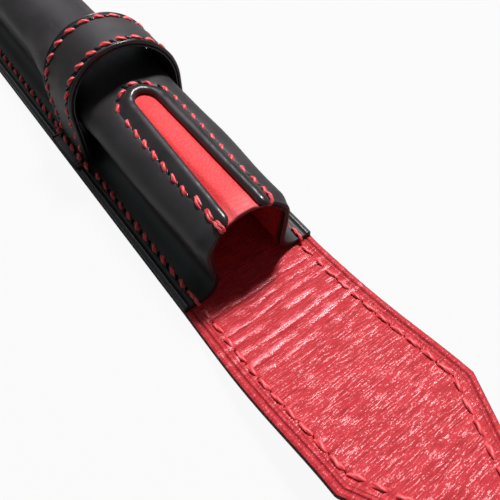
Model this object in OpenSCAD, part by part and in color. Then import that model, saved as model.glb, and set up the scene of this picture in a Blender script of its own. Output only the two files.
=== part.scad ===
// Single pen sleeve in lined leather, lying on its back with the flap open.
// The mouth is at y = 0, the closed end lies towards +Y and the flap towards -Y.
// X runs across the sleeve and the table is z = 0. All sizes are millimetres.

/* [Sleeve] */
// Width of the flat seam beside the barrel's hollow root
flange_w = 4.6; // [4:0.1:6]
// Length from the mouth to the closed end
sleeve_l = 155; // [125:1:190]
// Thickness of the outer leather
leather_t = 1.0; // [0.8:0.1:1.2]
// Thickness of the lining leather
lining_t = 0.6; // [0.4:0.1:0.8]

/* [Moulded barrel] */
// Greatest width of the barrel
barrel_w = 23.4; // [21:0.2:26]
// Height of the barrel's crown above the table
barrel_h = 24.6; // [22:0.2:30]
// How far each side is pinched in above the seam
pinch = 1.3; // [0.5:0.1:2]
// Depth of the shoulders' centres below the top of the crown
shoulder_drop = 8; // [7:0.25:10]
// Radius of the barrel's shoulders
shoulder_r = 5; // [4:0.25:6]
// Radius of the hollow between barrel and seam
root_r = 4; // [3:0.25:4.5]

/* [Window] */
// Width of the open slot
window_w = 7; // [5:0.25:8]
// Length of the slot from the mouth to its round end
window_l = 47.6; // [30:0.5:49]
// Width of the rolled border round the slot
border_w = 2.9; // [2:0.1:3.2]
// Height of the rolled border above the leather
border_h = 0.8; // [0.3:0.1:0.9]

/* [Keeper] */
// Distance from the mouth to the keeper's front edge
keeper_y = 54; // [54:1:70]
// Width of the keeper along the sleeve
keeper_w = 15; // [10:0.5:22]
// Clear height between the crown and the keeper
keeper_clear = 8.5; // [6:0.5:11]
// Clear width between the barrel's side and the keeper
keeper_side = 2.5; // [2:0.1:2.7]
// Radius of the fold between the keeper's leg and its foot
foot_r = 0.3; // [0.2:0.1:0.5]
// Rounding of the keeper's edges
edge_r = 0.5; // [0.2:0.1:0.6]

/* [Flap] */
// Length of the flap from the mouth to the tip
flap_l = 114; // [106:1:130]
// Angle at which the open flap lifts off the table
flap_rise = 10; // [2:1:25]
// Distance from the mouth to the first bend
bend_gap = 3.5; // [3:0.25:6]
// Gap between the closed flap and the crown
flap_clear = 1.4; // [1.3:0.1:3]
// Distance from the mouth to the flap's corners
corner_u = 50; // [44:1:60]
// Radius of the flap's corners
corner_r = 4; // [2:0.5:6]
// Width of the tongue that goes under the keeper
tongue_w = 18; // [14:0.5:20]
// Half angle of the taper from the corners to the tongue
taper_angle = 28; // [22:1:40]

/* [Stitching] */
// Distance between stitches, six to the inch
stitch_pitch = 4.25; // [3.5:0.05:5]
// Thickness of the waxed thread
thread_d = 0.8; // [0.6:0.05:1]
// Distance from the side seams to the edge of the leather
seam_inset = 3.4; // [3:0.1:4]
// Distance from the flap's stitching to the edge of the leather
flap_inset = 4; // [3.4:0.1:4.4]
// Distance from the window's slot to its stitching
window_inset = 3.6; // [3.5:0.1:4]
// Distance from the keeper's edges to its stitching
keeper_inset = 1.8; // [1.5:0.1:2.5]

/* [Hidden] */
$fn = 96;
eps = 0.01;
margin = 1;                     // how far a cutting shape runs past what it cuts
facets = 6;                     // sides of one stitch
split_gap = 0.05;               // slit between the parts of the flap at a bend
wall = leather_t + lining_t;    // one leather with its lining
neck_x = barrel_w/2 - pinch;    // half width of the barrel's neck
half_w = neck_x + root_r + flange_w;
sleeve_w = 2*half_w;
seam_x = half_w - seam_inset;
flange_z = 2*wall;              // top of the side seams
straight_l = sleeve_l - half_w; // the closed end is a half round

// Centres of the arcs that make the barrel's outline, as [x, z]
shoulder_c = [barrel_w/2 - shoulder_r, barrel_h - shoulder_drop];
root_c = [neck_x + root_r, flange_z + root_r];

// The crown's arc meets both shoulders without a corner
crown_r = (pow(shoulder_c[0], 2) + pow(shoulder_drop, 2) - pow(shoulder_r, 2))/(2*(shoulder_drop - shoulder_r));
crown_c = [0, barrel_h - crown_r];

// Direction square to the flank, which touches the shoulder and the root arcs
flank_d = root_c - shoulder_c;
flank_a = atan2(flank_d[1], flank_d[0]) + acos((shoulder_r + root_r)/norm(flank_d));
flank_n = [cos(flank_a), sin(flank_a)];

// Height of the crown's arc at a distance x from the middle
function crown_z(x) = crown_c[1] + sqrt(crown_r*crown_r - x*x);

window_r = window_w/2;
window_end = window_l - window_r;               // centre of the slot's round end
window_row = window_r + window_inset;           // half width of the stitching round the slot

// Middle of the rolled border's cord, as [x, z], and its climb over the crown at the slot's end
roll_r = border_w/2;
roll_a = asin((window_r + roll_r)/(crown_r + border_h - roll_r));
roll_c = crown_c + (crown_r + border_h - roll_r)*[sin(roll_a), cos(roll_a)];
roll_climb = atan2((crown_r + border_h - roll_r)*(1 - cos(roll_a)), roll_c[0]);

keeper_in_r = barrel_w/2 + keeper_side;
keeper_r = keeper_in_r + wall;                  // outside of the keeper's arch
arch_z = barrel_h + keeper_clear - keeper_in_r; // centre of the arch

hinge_y = -bend_gap;                            // first bend, on the lining's face
hinge_z = wall;
bridge_l = barrel_h + flap_clear - hinge_z;     // from the first bend to the second
tongue_u = bend_gap + bridge_l;                 // second bend, from the mouth
tongue_r = tongue_w/2;
taper_u = corner_u + (half_w - tongue_r)/tan(taper_angle);
tip_u = flap_l - tongue_r;                      // centre of the round tip

black = [0.10, 0.10, 0.11];
red = [0.80, 0.16, 0.20];
thread_red = [0.86, 0.22, 0.26];

// Barrel and seams

// Half of the barrel's cross-section in x and z, drawn inwards from its outer face
module half_section(inset, side, low) {
    flank_top = shoulder_c + (shoulder_r - inset - eps)*flank_n;
    flank_low = root_c - (root_r + inset - eps)*flank_n;
    crown_dir = (shoulder_c - crown_c)/norm(shoulder_c - crown_c);
    difference() {
        union() {
            translate([0, low]) square([side, flange_z - inset - low]);
            polygon([[0, low], [root_c[0], low], root_c, flank_low, flank_top, shoulder_c, crown_c]);
            translate(shoulder_c) circle(shoulder_r - inset);
            intersection() {
                translate(crown_c) circle(crown_r - inset);
                polygon([crown_c, crown_c + 2*crown_r*crown_dir, [0, 2*barrel_h]]);
            }
        }
        translate(root_c) circle(root_r + inset);
        translate([-barrel_w, low - margin]) square([barrel_w, 3*barrel_h]);
    }
}

// Half of the cross-section of one layer, between two distances from the outer face
module half_layer(outer, inner) {
    difference() {
        half_section(outer, half_w, 0);
        half_section(inner, half_w + margin, -margin);
    }
}

// A layer of the front over the straight part of the sleeve
module straight_layer(outer, inner) {
    translate([0, straight_l, 0]) rotate([90, 0, 0]) linear_extrude(straight_l)
        for (s = [0, 1]) mirror([s, 0]) half_layer(outer, inner);
}

// A layer of the front with the half round closed end
module front_layer(outer, inner) {
    straight_layer(outer, inner);
    translate([0, straight_l, 0]) rotate_extrude(angle = 180) half_layer(outer, inner);
}

// Flat panel with the sleeve's outline from the first bend to the closed end
module back_panel(z, t) {
    translate([0, 0, z]) linear_extrude(t) union() {
        translate([-half_w, hinge_y]) square([sleeve_w, straight_l - hinge_y]);
        intersection() {
            translate([0, straight_l]) circle(half_w);
            translate([-sleeve_w, straight_l - eps]) square([2*sleeve_w, sleeve_w]);
        }
    }
}

// Outline of the window, widened on every side, open at the mouth
module window_shape(wider) {
    r = window_r + wider;
    translate([0, window_end]) circle(r);
    translate([-r, -margin]) square([2*r, window_end + margin]);
}

// Rolled border round the window: a cord wrapped in the leather's edge. It runs up the
// right side, round the end of the slot and down the left side, with round ends at the mouth.
module window_roll() {
    difference() {
        union() {
            for (s = [-1, 1]) translate([s*roll_c[0], 0, roll_c[1]]) {
                translate([0, roll_r, 0]) sphere(roll_r);
                translate([0, roll_r, 0]) rotate([-90, 0, 0]) cylinder(h = window_end - roll_r, r = roll_r);
                translate([0, window_end, 0]) sphere(roll_r);
            }
            translate([0, window_end, roll_c[1]]) rotate([roll_climb, 0, 0])
                rotate_extrude(angle = 180) translate([roll_c[0], 0]) circle(roll_r);
        }
        translate([0, straight_l, 0]) rotate([90, 0, 0]) linear_extrude(straight_l + margin)
            for (s = [0, 1]) mirror([s, 0]) half_section(leather_t, half_w, -margin);
    }
}

module back_leather() { color(black) back_panel(0, leather_t); }

module back_lining() { color(red) back_panel(leather_t, lining_t); }

module front_leather() {
    color(black) {
        difference() {
            front_layer(0, leather_t);
            translate([0, 0, shoulder_c[1]]) linear_extrude(barrel_h) window_shape(roll_r/2);
        }
        window_roll();
    }
}

module front_lining() { color(red) front_layer(leather_t, wall); }

// Keeper

// Cross-section of one layer of the keeper's strip, x inwards from its outer face and y
// across its width. The edges of the two layers are rounded together.
module strip_section(outer, inner) {
    intersection() {
        union() {
            for (x = [edge_r, wall - edge_r], y = [edge_r, keeper_w - edge_r])
                translate([x, y]) circle(edge_r);
            translate([0, edge_r]) square([wall, keeper_w - 2*edge_r]);
            translate([edge_r, 0]) square([wall - 2*edge_r, keeper_w]);
        }
        translate([outer, -margin]) square([inner - outer, keeper_w + 2*margin]);
    }
}

// The strip's arch over the barrel with both legs, which end at the height low
module keeper_arch(outer, inner, low) {
    translate([0, keeper_y + keeper_w, arch_z]) rotate([90, 0, 0]) rotate_extrude(angle = 180)
        translate([keeper_r, 0]) mirror([1, 0]) strip_section(outer, inner);
    for (s = [0, 1]) mirror([s, 0, 0]) translate([keeper_r, keeper_y, low])
        linear_extrude(arch_z - low) mirror([1, 0]) strip_section(outer, inner);
}

// The fold at the bottom of the right leg, and the foot that is sewn on the side seam
module keeper_foot() {
    foot_c = [keeper_r + foot_r, flange_z + leather_t + foot_r];
    translate([foot_c[0], keeper_y, foot_c[1]]) rotate([-90, 0, 0]) rotate([0, 0, 90])
        rotate_extrude(angle = 90) translate([foot_r, 0]) strip_section(0, leather_t);
    translate([foot_c[0], keeper_y, flange_z + leather_t]) rotate([0, 90, 0])
        linear_extrude(half_w - foot_c[0]) strip_section(0, leather_t);
}

module keeper_band() {
    color(black) {
        keeper_arch(0, leather_t, flange_z + leather_t + foot_r);
        for (s = [0, 1]) mirror([s, 0, 0]) keeper_foot();
    }
}

module keeper_lining() { color(black) keeper_arch(leather_t, wall, flange_z); }

// Flap

// Outline of the whole flap laid flat, with its tip towards -Y
module flap_outline() {
    offset(corner_r) offset(delta = -2*corner_r) offset(corner_r) union() {
        polygon([[-half_w, half_w], [half_w, half_w], [half_w, -corner_u],
            [tongue_r, -taper_u], [-tongue_r, -taper_u], [-half_w, -corner_u]]);
        translate([-tongue_r, -tip_u]) square([tongue_w, tip_u - taper_u + eps]);
        translate([0, -tip_u]) circle(tongue_r, $fn = 48);
    }
}

// Part of the flap between two distances from the mouth, laid flat
module flap_part(from, to, z, t) {
    translate([0, 0, z]) linear_extrude(t) intersection() {
        flap_outline();
        translate([-sleeve_w, -to]) square([2*sleeve_w, to - from]);
    }
}

// Lifts what is drawn flat about the first bend
module lifted() {
    translate([0, hinge_y, hinge_z]) rotate([-flap_rise, 0, 0]) translate([0, -hinge_y, -hinge_z]) children();
}

module bridge_leather() {
    color(black) lifted() flap_part(bend_gap + split_gap, tongue_u, 0, leather_t);
}

module bridge_lining() {
    color(red) lifted() flap_part(bend_gap + split_gap, tongue_u, leather_t, lining_t);
}

module tongue_leather() {
    color(black) lifted() flap_part(tongue_u + split_gap, flap_l + margin, 0, leather_t);
}

module tongue_lining() {
    color(red) lifted() flap_part(tongue_u + split_gap, flap_l + margin, leather_t, lining_t);
}

// Stitching

stitch_l = 0.72*stitch_pitch;      // visible length of a stitch
stitch_r = thread_d/2;
flat_r = stitch_r*cos(180/facets); // from a stitch's axis to its flat side
skew = 8;                          // slant of each stitch to its row, degrees
slack = 0.05;                      // keeps a straight stitch clear of a curved face
bend_free = 0.5;                   // bare leather from a bend to the first stitch

// One stitch along Y with its flat underside on z = 0
module stitch(turn = skew) {
    rotate([0, 0, turn]) translate([0, -stitch_l/2, flat_r]) rotate([-90, 0, 0])
        cylinder(h = stitch_l, r = stitch_r, $fn = facets);
}

// Side seams: a straight row on each side and a half round row about the closed end
seam_count = floor((straight_l - stitch_pitch/2)/stitch_pitch);
end_count = round(PI*seam_x/stitch_pitch);
foot_x = keeper_r + stitch_r + stitch_l/2*sin(skew) + slack;

// Does a stitch at y lie on the keeper's foot?
function on_foot(y) = y > keeper_y - stitch_l/2 && y < keeper_y + keeper_w + stitch_l/2;

module seam_thread() {
    color(thread_red) {
        for (s = [-1, 1], i = [0 : seam_count]) {
            y = straight_l - (i + 0.5)*stitch_pitch;
            x = on_foot(y) ? foot_x : seam_x;
            z = on_foot(y) ? flange_z + leather_t : flange_z;
            if (y > stitch_l/2 + eps) translate([s*x, y, z]) stitch(s*skew);
        }
        for (i = [0 : end_count - 1]) translate([0, straight_l, flange_z])
            rotate([0, 0, (i + 0.5)*180/end_count]) translate([seam_x, 0, 0]) stitch();
    }
}

// Height and slope of the leather at the window's stitching
function surface_z(x) = abs(x) < shoulder_on_crown ? crown_z(x)
    : shoulder_c[1] + sqrt(shoulder_r*shoulder_r - pow(abs(x) - shoulder_c[0], 2));
shoulder_on_crown = crown_r*shoulder_c[0]/(crown_r - shoulder_r);
function surface_slope(x) = atan2(surface_z(x + eps) - surface_z(x - eps), 2*eps);

// One stitch lying on the barrel's crown, at x and y, turned in plan
module crown_stitch(x, y, turn) {
    translate([x, y, surface_z(x)]) rotate([0, -surface_slope(x), 0])
        translate([0, 0, slack]) stitch(turn);
}

row_count = floor(window_end/stitch_pitch);
bow_count = round(PI*window_row/stitch_pitch);

module window_thread() {
    color(thread_red) {
        for (s = [-1, 1], i = [0 : row_count - 1])
            crown_stitch(s*window_row, window_end - (i + 0.5)*stitch_pitch, s*skew);
        for (i = [0 : bow_count - 1]) {
            a = (i + 0.5)*180/bow_count;
            crown_stitch(window_row*cos(a), window_end + window_row*sin(a), a);
        }
    }
}

leg_count = floor((arch_z - flange_z - leather_t - foot_r)/stitch_pitch);
arch_count = round(PI*keeper_r/stitch_pitch);

// A row of stitches over the keeper, at y
module keeper_row(y) {
    for (s = [-1, 1], i = [0 : leg_count - 1])
        translate([s*keeper_r, y, arch_z - (i + 0.5)*stitch_pitch]) rotate([90, 0, s*90]) stitch();
    for (i = [0 : arch_count - 1])
        translate([0, y, arch_z]) rotate([0, 90 - (i + 0.5)*180/arch_count, 0])
            translate([0, 0, keeper_r]) rotate([0, 0, 90]) stitch();
}

module keeper_thread_front() { color(thread_red) keeper_row(keeper_y + keeper_inset); }

module keeper_thread_rear() { color(thread_red) keeper_row(keeper_y + keeper_w - keeper_inset); }

// Stitches evenly spaced from one point of the flat flap to another, on its lining
module flap_row(from, to) {
    d = to - from;
    count = max(1, round(norm(d)/stitch_pitch));
    for (i = [0 : count - 1]) {
        p = from + d*(i + 0.5)/count;
        translate([p[0], p[1], wall]) rotate([0, 0, atan2(d[1], d[0]) - 90]) stitch();
    }
}

// Corners of the stitch line on the flap
row_x = half_w - flap_inset;
row_turn = flap_inset*tan(taper_angle/2);
corner_p = [row_x, -corner_u + row_turn];
tongue_x = tongue_r - flap_inset;
tongue_p = [tongue_x, -taper_u + row_turn];
tip_count = max(2, round(PI*tongue_x/stitch_pitch));

module bridge_thread() {
    color(thread_red) lifted() for (s = [0, 1]) mirror([s, 0, 0])
        flap_row([row_x, -bend_gap - 2*bend_free], [row_x, -tongue_u + bend_free]);
}

module tongue_thread() {
    color(thread_red) lifted() {
        for (s = [0, 1]) mirror([s, 0, 0]) {
            flap_row([row_x, -tongue_u - bend_free], corner_p);
            flap_row(corner_p, tongue_p);
            flap_row(tongue_p, [tongue_x, -tip_u]);
        }
        for (i = [0 : tip_count - 1]) translate([0, -tip_u, wall])
            rotate([0, 0, -(i + 0.5)*180/tip_count]) translate([tongue_x, 0, 0]) stitch();
    }
}

back_leather();
back_lining();
front_leather();
front_lining();
keeper_band();
keeper_lining();
seam_thread();
window_thread();
keeper_thread_front();
keeper_thread_rear();
bridge_leather();
bridge_lining();
bridge_thread();
tongue_leather();
tongue_lining();
tongue_thread();
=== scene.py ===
# %% [markdown]
# # A single pen sleeve in leather
# The real sleeve is two panels of black leather, each lined with red leather and sewn
# together along both sides. The front panel is moulded over a form, so it stands up as a
# barrel for one pen. The back panel runs on past the mouth as a long flap.
# Here each piece is a surface that numpy works out as a grid of points. All sizes in the
# code are millimetres, and they become metres when a mesh is made.

# %% The frame
import bpy
import bmesh
import numpy as np
from mathutils import Matrix, Vector


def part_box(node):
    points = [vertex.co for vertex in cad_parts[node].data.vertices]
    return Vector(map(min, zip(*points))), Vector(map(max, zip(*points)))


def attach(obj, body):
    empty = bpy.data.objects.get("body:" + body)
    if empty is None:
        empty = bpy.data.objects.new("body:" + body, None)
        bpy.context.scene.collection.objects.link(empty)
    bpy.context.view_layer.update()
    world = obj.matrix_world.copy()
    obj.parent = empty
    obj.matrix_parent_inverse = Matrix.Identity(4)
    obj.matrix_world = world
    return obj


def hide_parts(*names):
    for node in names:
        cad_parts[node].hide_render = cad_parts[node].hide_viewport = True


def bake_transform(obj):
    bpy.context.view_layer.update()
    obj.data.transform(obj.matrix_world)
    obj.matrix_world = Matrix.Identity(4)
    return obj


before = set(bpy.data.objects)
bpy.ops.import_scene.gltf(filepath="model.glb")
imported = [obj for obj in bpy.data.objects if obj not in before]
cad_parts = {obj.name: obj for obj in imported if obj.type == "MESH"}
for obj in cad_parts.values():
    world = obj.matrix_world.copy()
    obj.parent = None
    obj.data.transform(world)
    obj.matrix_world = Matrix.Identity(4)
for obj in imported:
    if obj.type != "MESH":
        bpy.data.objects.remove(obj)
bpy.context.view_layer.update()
MM = 0.001

# %% [markdown]
# ## Camera
# The photograph looks down on the sleeve from the flap's end and from its left. The
# camera stands close, so the near end looks much larger than the far end. It could be
# placed by eye, but then nothing could be measured in the picture. So its place comes
# from matching the seams, the stitches and the mouth, and the lens shift only puts the
# middle of the picture where the photograph has it.

# %% The camera
TURN, RISE, ROLL = np.radians([42.685, 53.498, 4.865])
CAMERA_AT = Vector((-41.665, -59.310, 113.580))*MM
back = np.array([-np.sin(TURN)*np.cos(RISE), -np.cos(TURN)*np.cos(RISE), np.sin(RISE)])
right = np.array([np.cos(TURN), -np.sin(TURN), 0.0])
up = np.cross(back, right)
right, up = np.cos(ROLL)*right + np.sin(ROLL)*up, np.cos(ROLL)*up - np.sin(ROLL)*right
lens = bpy.data.cameras.new("camera")
lens.lens = 39.016
lens.sensor_width = 36
lens.shift_x = -0.0867
lens.shift_y = -0.0217
lens.clip_start = 0.01
camera = bpy.data.objects.new("camera", lens)
bpy.context.scene.collection.objects.link(camera)
camera.matrix_world = Matrix([[*map(float, row), at] for row, at in
                              zip(np.stack([right, up, back], 1), CAMERA_AT)] + [[0, 0, 0, 1]])
bpy.context.scene.camera = camera
print("camera", round(camera.location.length, 4), "m from the mouth")

# %% [markdown]
# ## Light
# The key lamp stands high up on the right and a little behind: it throws the shadow of
# the mouth on the flap. A weak, cool lamp on the left fills the dark flank, and a broad
# one behind lights the tops of the barrel and the keeper. A sun would throw a harder
# shadow and a bright sky none at all, so area lamps were taken, whose size sets how soft
# the shadow's edge is.

# %% Light
LAMP_AIM = Vector((0, 0.02, 0.01))


def area_lamp(name, towards, distance, size, watts, colour=(1, 1, 1)):
    """A square lamp at a distance from the aim in a direction, turned to face it."""
    lamp = bpy.data.lights.new(name, "AREA")
    lamp.size = size
    lamp.energy = watts
    lamp.color = colour
    ob = bpy.data.objects.new(name, lamp)
    bpy.context.scene.collection.objects.link(ob)
    way = Vector(towards).normalized()
    ob.location = way*distance + LAMP_AIM
    ob.rotation_euler = way.to_track_quat("Z", "Y").to_euler()


area_lamp("key_lamp", (0.43, 0.25, 0.87), 0.9, 0.16, 10.8)
area_lamp("fill_lamp", (-0.8, 0.5, 0.5), 1.2, 0.7, 0.3, (0.3, 1.0, 0.9))
area_lamp("back_lamp", (0.3, 0.72, 0.82), 1.3, 0.9, 2.6, (0.86, 0.93, 1.0))
print("lamps: key, fill and back")

# %% [markdown]
# ## How a material is written
# A material is a small graph of nodes. It could be wired by hand, node by node, but then
# its formula is hard to read. The first class below wraps one output of a node, so a sum
# such as 0.3 + 0.1*grain in the script adds the Math nodes that work it out. The second
# adds nodes to a material, or to the sky.

# %% Material tools
class Value:
    """One number or colour on its way through a material's nodes."""

    def __init__(self, finish, socket):
        self.finish = finish
        self.socket = socket

    def math(self, operation, *others):
        """Joins this value and the others in one Math node."""
        inputs = dict(enumerate((self, *others)))
        return self.finish.node("ShaderNodeMath", {"operation": operation}, inputs)

    def __add__(self, other):
        return self.math("ADD", other)

    def __sub__(self, other):
        return self.math("SUBTRACT", other)

    def __mul__(self, other):
        return self.math("MULTIPLY", other)

    def __rsub__(self, other):
        """A plain number less this value."""
        return self.finish.node("ShaderNodeMath", {"operation": "SUBTRACT"}, {0: other, 1: self})

    __radd__ = __add__
    __rmul__ = __mul__


class Finish:
    """The nodes of a material or of the sky, while they are being put together."""

    def __init__(self, owner):
        self.owner = owner
        owner.use_nodes = True
        self.tree = owner.node_tree
        self.tree.nodes.clear()

    def node(self, kind, settings=None, inputs=None, out=0):
        """Adds a node: its settings first, then the values or links of its sockets."""
        n = self.tree.nodes.new(kind)
        for key, value in (settings or {}).items():
            setattr(n, key, value)
        for key, value in (inputs or {}).items():
            if isinstance(value, Value):
                self.tree.links.new(value.socket, n.inputs[key])
            else:
                n.inputs[key].default_value = value
        return Value(self, n.outputs[out]) if len(n.outputs) else None

    def place(self):
        """Object coordinates, in metres."""
        return self.node("ShaderNodeTexCoord", out="Object")

    def scaled(self, vector, x, y, z):
        """A vector with each of its parts multiplied."""
        return self.node("ShaderNodeVectorMath", {"operation": "MULTIPLY"}, {0: vector, 1: (x, y, z)})

    def noise(self, vector, scale, detail, roughness=0.5):
        """Cloudy noise from 0 to 1."""
        return self.node("ShaderNodeTexNoise", {}, {"Vector": vector, "Scale": scale, "Detail": detail,
                                                    "Roughness": roughness})

    def cells(self, vector, scale):
        """Distance inside the cells of a pebbled pattern."""
        return self.node("ShaderNodeTexVoronoi", {}, {"Vector": vector, "Scale": scale})

    def marked(self, name):
        """An attribute that the mesh carries, such as how deep a wrinkle is."""
        return self.node("ShaderNodeAttribute", {"attribute_name": name}, out="Fac")

    def between(self, factor, low, high):
        """0 below low, 1 above high, smooth between."""
        return self.node("ShaderNodeMapRange", {"interpolation_type": "SMOOTHSTEP"},
                         {"Value": factor, "From Min": low, "From Max": high})

    def mix(self, factor, a, b):
        """From colour a to colour b."""
        return self.node("ShaderNodeMix", {"data_type": "RGBA"}, {0: factor, 6: a, 7: b}, out=2)

    def bump(self, height, distance, strength):
        """Shades the surface as if height raised it by up to distance, in metres."""
        inputs = {"Height": height, "Distance": distance, "Strength": strength}
        return self.node("ShaderNodeBump", {}, inputs)

    def surface(self, **inputs):
        """The Principled shader of the finish, with its sockets by name."""
        named = {key.replace("_", " ").title().replace("Ior", "IOR"): v for key, v in inputs.items()}
        shader = self.node("ShaderNodeBsdfPrincipled", {}, named)
        self.node("ShaderNodeOutputMaterial", {}, {"Surface": shader})
        return self.owner


def rgb(r, g, b):
    """A colour given as the screen shows it, 0 to 255, made linear."""
    c = np.array([r, g, b])/255
    linear = np.where(c <= 0.04045, c/12.92, ((c + 0.055)/1.055)**2.4)
    return (*map(float, linear), 1.0)


print("a mid grey made linear:", round(rgb(128, 128, 128)[0], 3))

# %% [markdown]
# ## Floor and sky
# The photograph has a plain white background. A real white table would throw its light up
# on the dark flanks of the leather and turn them grey. So the floor and the sky are white
# to the camera's own rays only. To everything else the floor is a dim grey and the sky
# weak. A little of the matte floor shows through its white, which is enough for the soft
# shadow.

# %% Floor and sky
WHITE = (1, 1, 1, 1)
FLOOR_REACH = 3.0
FLOOR_GREY = (0.32, 0.32, 0.32, 1)
FLOOR_WHITENESS = 0.93
SKY_STRENGTH = 0.12


def white_stage():
    """A floor that is nearly plain white to the camera, and grey and matte otherwise."""
    f = Finish(bpy.data.materials.new("floor_white"))
    seen = f.node("ShaderNodeLightPath", out="Is Camera Ray")
    matte = f.node("ShaderNodeBsdfDiffuse", {}, {"Color": FLOOR_GREY})
    white = f.node("ShaderNodeEmission", {}, {"Color": WHITE, "Strength": 1.0})
    both = f.node("ShaderNodeMixShader", {}, {0: seen*FLOOR_WHITENESS, 1: matte, 2: white})
    f.node("ShaderNodeOutputMaterial", {}, {"Surface": both})
    mesh = bpy.data.meshes.new("floor")
    r = FLOOR_REACH
    mesh.from_pydata([(-r, -r, 0), (r, -r, 0), (r, r, 0), (-r, r, 0)], [], [(0, 1, 2, 3)])
    ob = bpy.data.objects.new("floor", mesh)
    ob.data.materials.append(f.owner)
    bpy.context.scene.collection.objects.link(ob)


def white_sky():
    """A weak, even sky that the camera sees as plain white."""
    bpy.context.scene.world = bpy.data.worlds.new("sky")
    f = Finish(bpy.context.scene.world)
    weak = f.node("ShaderNodeBackground", {}, {"Color": WHITE, "Strength": SKY_STRENGTH})
    shown = f.node("ShaderNodeBackground", {}, {"Color": WHITE, "Strength": 1.0})
    seen = f.node("ShaderNodeLightPath", out="Is Camera Ray")
    both = f.node("ShaderNodeMixShader", {}, {0: seen, 1: weak, 2: shown})
    f.node("ShaderNodeOutputWorld", {}, {"Surface": both})


white_stage()
white_sky()
bpy.context.scene.view_settings.view_transform = "Standard"
print("floor", 2*FLOOR_REACH, "m wide, sky strength", SKY_STRENGTH)

# %% [markdown]
# ## Sizes
# These are the sleeve's own sizes, the same as in the construction model. They could be
# measured on its meshes, but as named values they can be read and changed in one place.
# The outline of the barrel is made of arcs that meet without a corner: the crown, the
# shoulder, a straight flank, the hollow root and the flat seam. Distances named U run
# along the flap from the mouth. The last two are how deep a row of stitches is drawn in,
# and how far from an edge its pressed crease lies.

# %% Sizes of the sleeve
HALF_W = 19.0
SLEEVE_L = 155.0
STRAIGHT_L = SLEEVE_L - HALF_W
LEATHER, LINING = 1.0, 0.6
WALL = LEATHER + LINING
SEAM_Z = 2*WALL
SHOULDER_R, ROOT_R, CROWN_R = 5.0, 4.0, 13.984
SHOULDER = np.array([6.7, 16.6])
ROOT = np.array([14.4, 7.2])
CROWN = np.array([0.0, 24.6 - CROWN_R])
EDGE_R = 0.45
EDGE_TUCK = 0.05
WINDOW_R, WINDOW_L = 3.5, 47.6
WINDOW_END = WINDOW_L - WINDOW_R
ROW_R = WINDOW_R + 3.6
HINGE_U, RISE_ANGLE = 3.5, np.radians(10)
BEND_HALF = 2.9
SECOND_U, SECOND_HALF = 27.9, 4.5
CUT_U = 15.7
FLAP_L, FLAP_W, CORNER_U, TAPER = 114.0, 19.55, 51.0, np.radians(27)
TONGUE_R = 9.0
TIP_U = FLAP_L - TONGUE_R
PITCH = 4.25
ROW_DIP = 0.12
CREASE_D = 1.75
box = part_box("back_leather")
print("sleeve from the CAD:", [round(float(v), 4) for v in (*box[0], *box[1])])

# %% [markdown]
# ## Smooth steps and humps
# Leather changes its height gently. That could be sculpted, or painted as a texture. Here
# a few small functions describe nearly all of it, because each place and width in them is
# a size in millimetres: a step from 0 to 1, a hump, and a rounded change from one line to
# another.

# %% Smooth steps and humps
def rise(v, low, high):
    """0 below low, 1 above high and a smooth S between them: t*t*(3 - 2*t)."""
    t = np.clip((np.asarray(v, float) - low)/(high - low), 0, 1)
    return t*t*(3 - 2*t)


def bumps(x, centre, width):
    """A smooth hump of height 1 at the centre, down to 0 at the width on each side."""
    t = np.clip(1 - ((x - centre)/width)**2, 0, 1)
    return t*t


def soft_least(a, b, blend):
    """The smaller of two values, with a rounded change over the blend."""
    h = np.clip(0.5 + 0.5*(b - a)/blend, 0, 1)
    return b*(1 - h) + a*h - blend*h*(1 - h)*0.5


def steps(*parts):
    """A rising list of values: each part is (from, to, step), and ends meet once."""
    out = [np.linspace(a, b, max(2, int(round(abs(b - a)/d)) + 1))[:-1] for a, b, d in parts]
    return np.concatenate(out + [[parts[-1][1]]])


print("half way up:", float(rise(0.5, 0, 1)), "and down:", float(bumps(0.5, 0, 1)))

# %% [markdown]
# ## The section of the moulded front
# The front's layers could be made by thickening one mesh. Instead, one function gives the
# whole half section: for a distance along the leather, measured from the middle of the
# crown, it gives the point and the direction square to the leather. Every layer, stitch
# and border of the front is placed with it, so they all fit. The photograph shows the
# barrel fuller a little way behind the mouth, and even again beyond the keeper: that is
# the swell.

# %% The half section
crown_way = (SHOULDER - CROWN)/np.linalg.norm(SHOULDER - CROWN)
crown_to = np.arctan2(crown_way[1], crown_way[0])
flank_way = ROOT - SHOULDER
flank_angle = (np.arctan2(flank_way[1], flank_way[0])
               + np.arccos((SHOULDER_R + ROOT_R)/np.linalg.norm(flank_way)))
flank_normal = np.array([np.cos(flank_angle), np.sin(flank_angle)])
flank_top = SHOULDER + SHOULDER_R*flank_normal
flank_low = ROOT - ROOT_R*flank_normal
EDGE = np.array([HALF_W - EDGE_R, SEAM_Z - EDGE_R])
LENGTHS = np.array([
    CROWN_R*(np.pi/2 - crown_to),
    SHOULDER_R*(crown_to - flank_angle),
    np.linalg.norm(flank_top - flank_low),
    ROOT_R*(np.pi/2 - flank_angle),
    EDGE[0] - ROOT[0],
    EDGE_R*np.pi/2,
    SEAM_Z - EDGE_R - WALL + EDGE_TUCK])
ENDS = np.cumsum(LENGTHS)


def swell(s, y):
    """How far the leather stands outside the even section: most at the shoulders.

    A sum of smooth steps along the sleeve, times steps along the section.
    """
    along = -0.3 + 1.05*rise(y, 0, 4) + 0.8*rise(y, 8, 32) + 0.65*rise(y, 50, 62) - 2.35*rise(y, 76, 96)
    along = along + 0.8*bumps(y, 67, 10)
    s = np.abs(s)
    return along*(0.12 + 0.88*rise(s, 4, 12))*(1 - rise(s, 13, 27))


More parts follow.
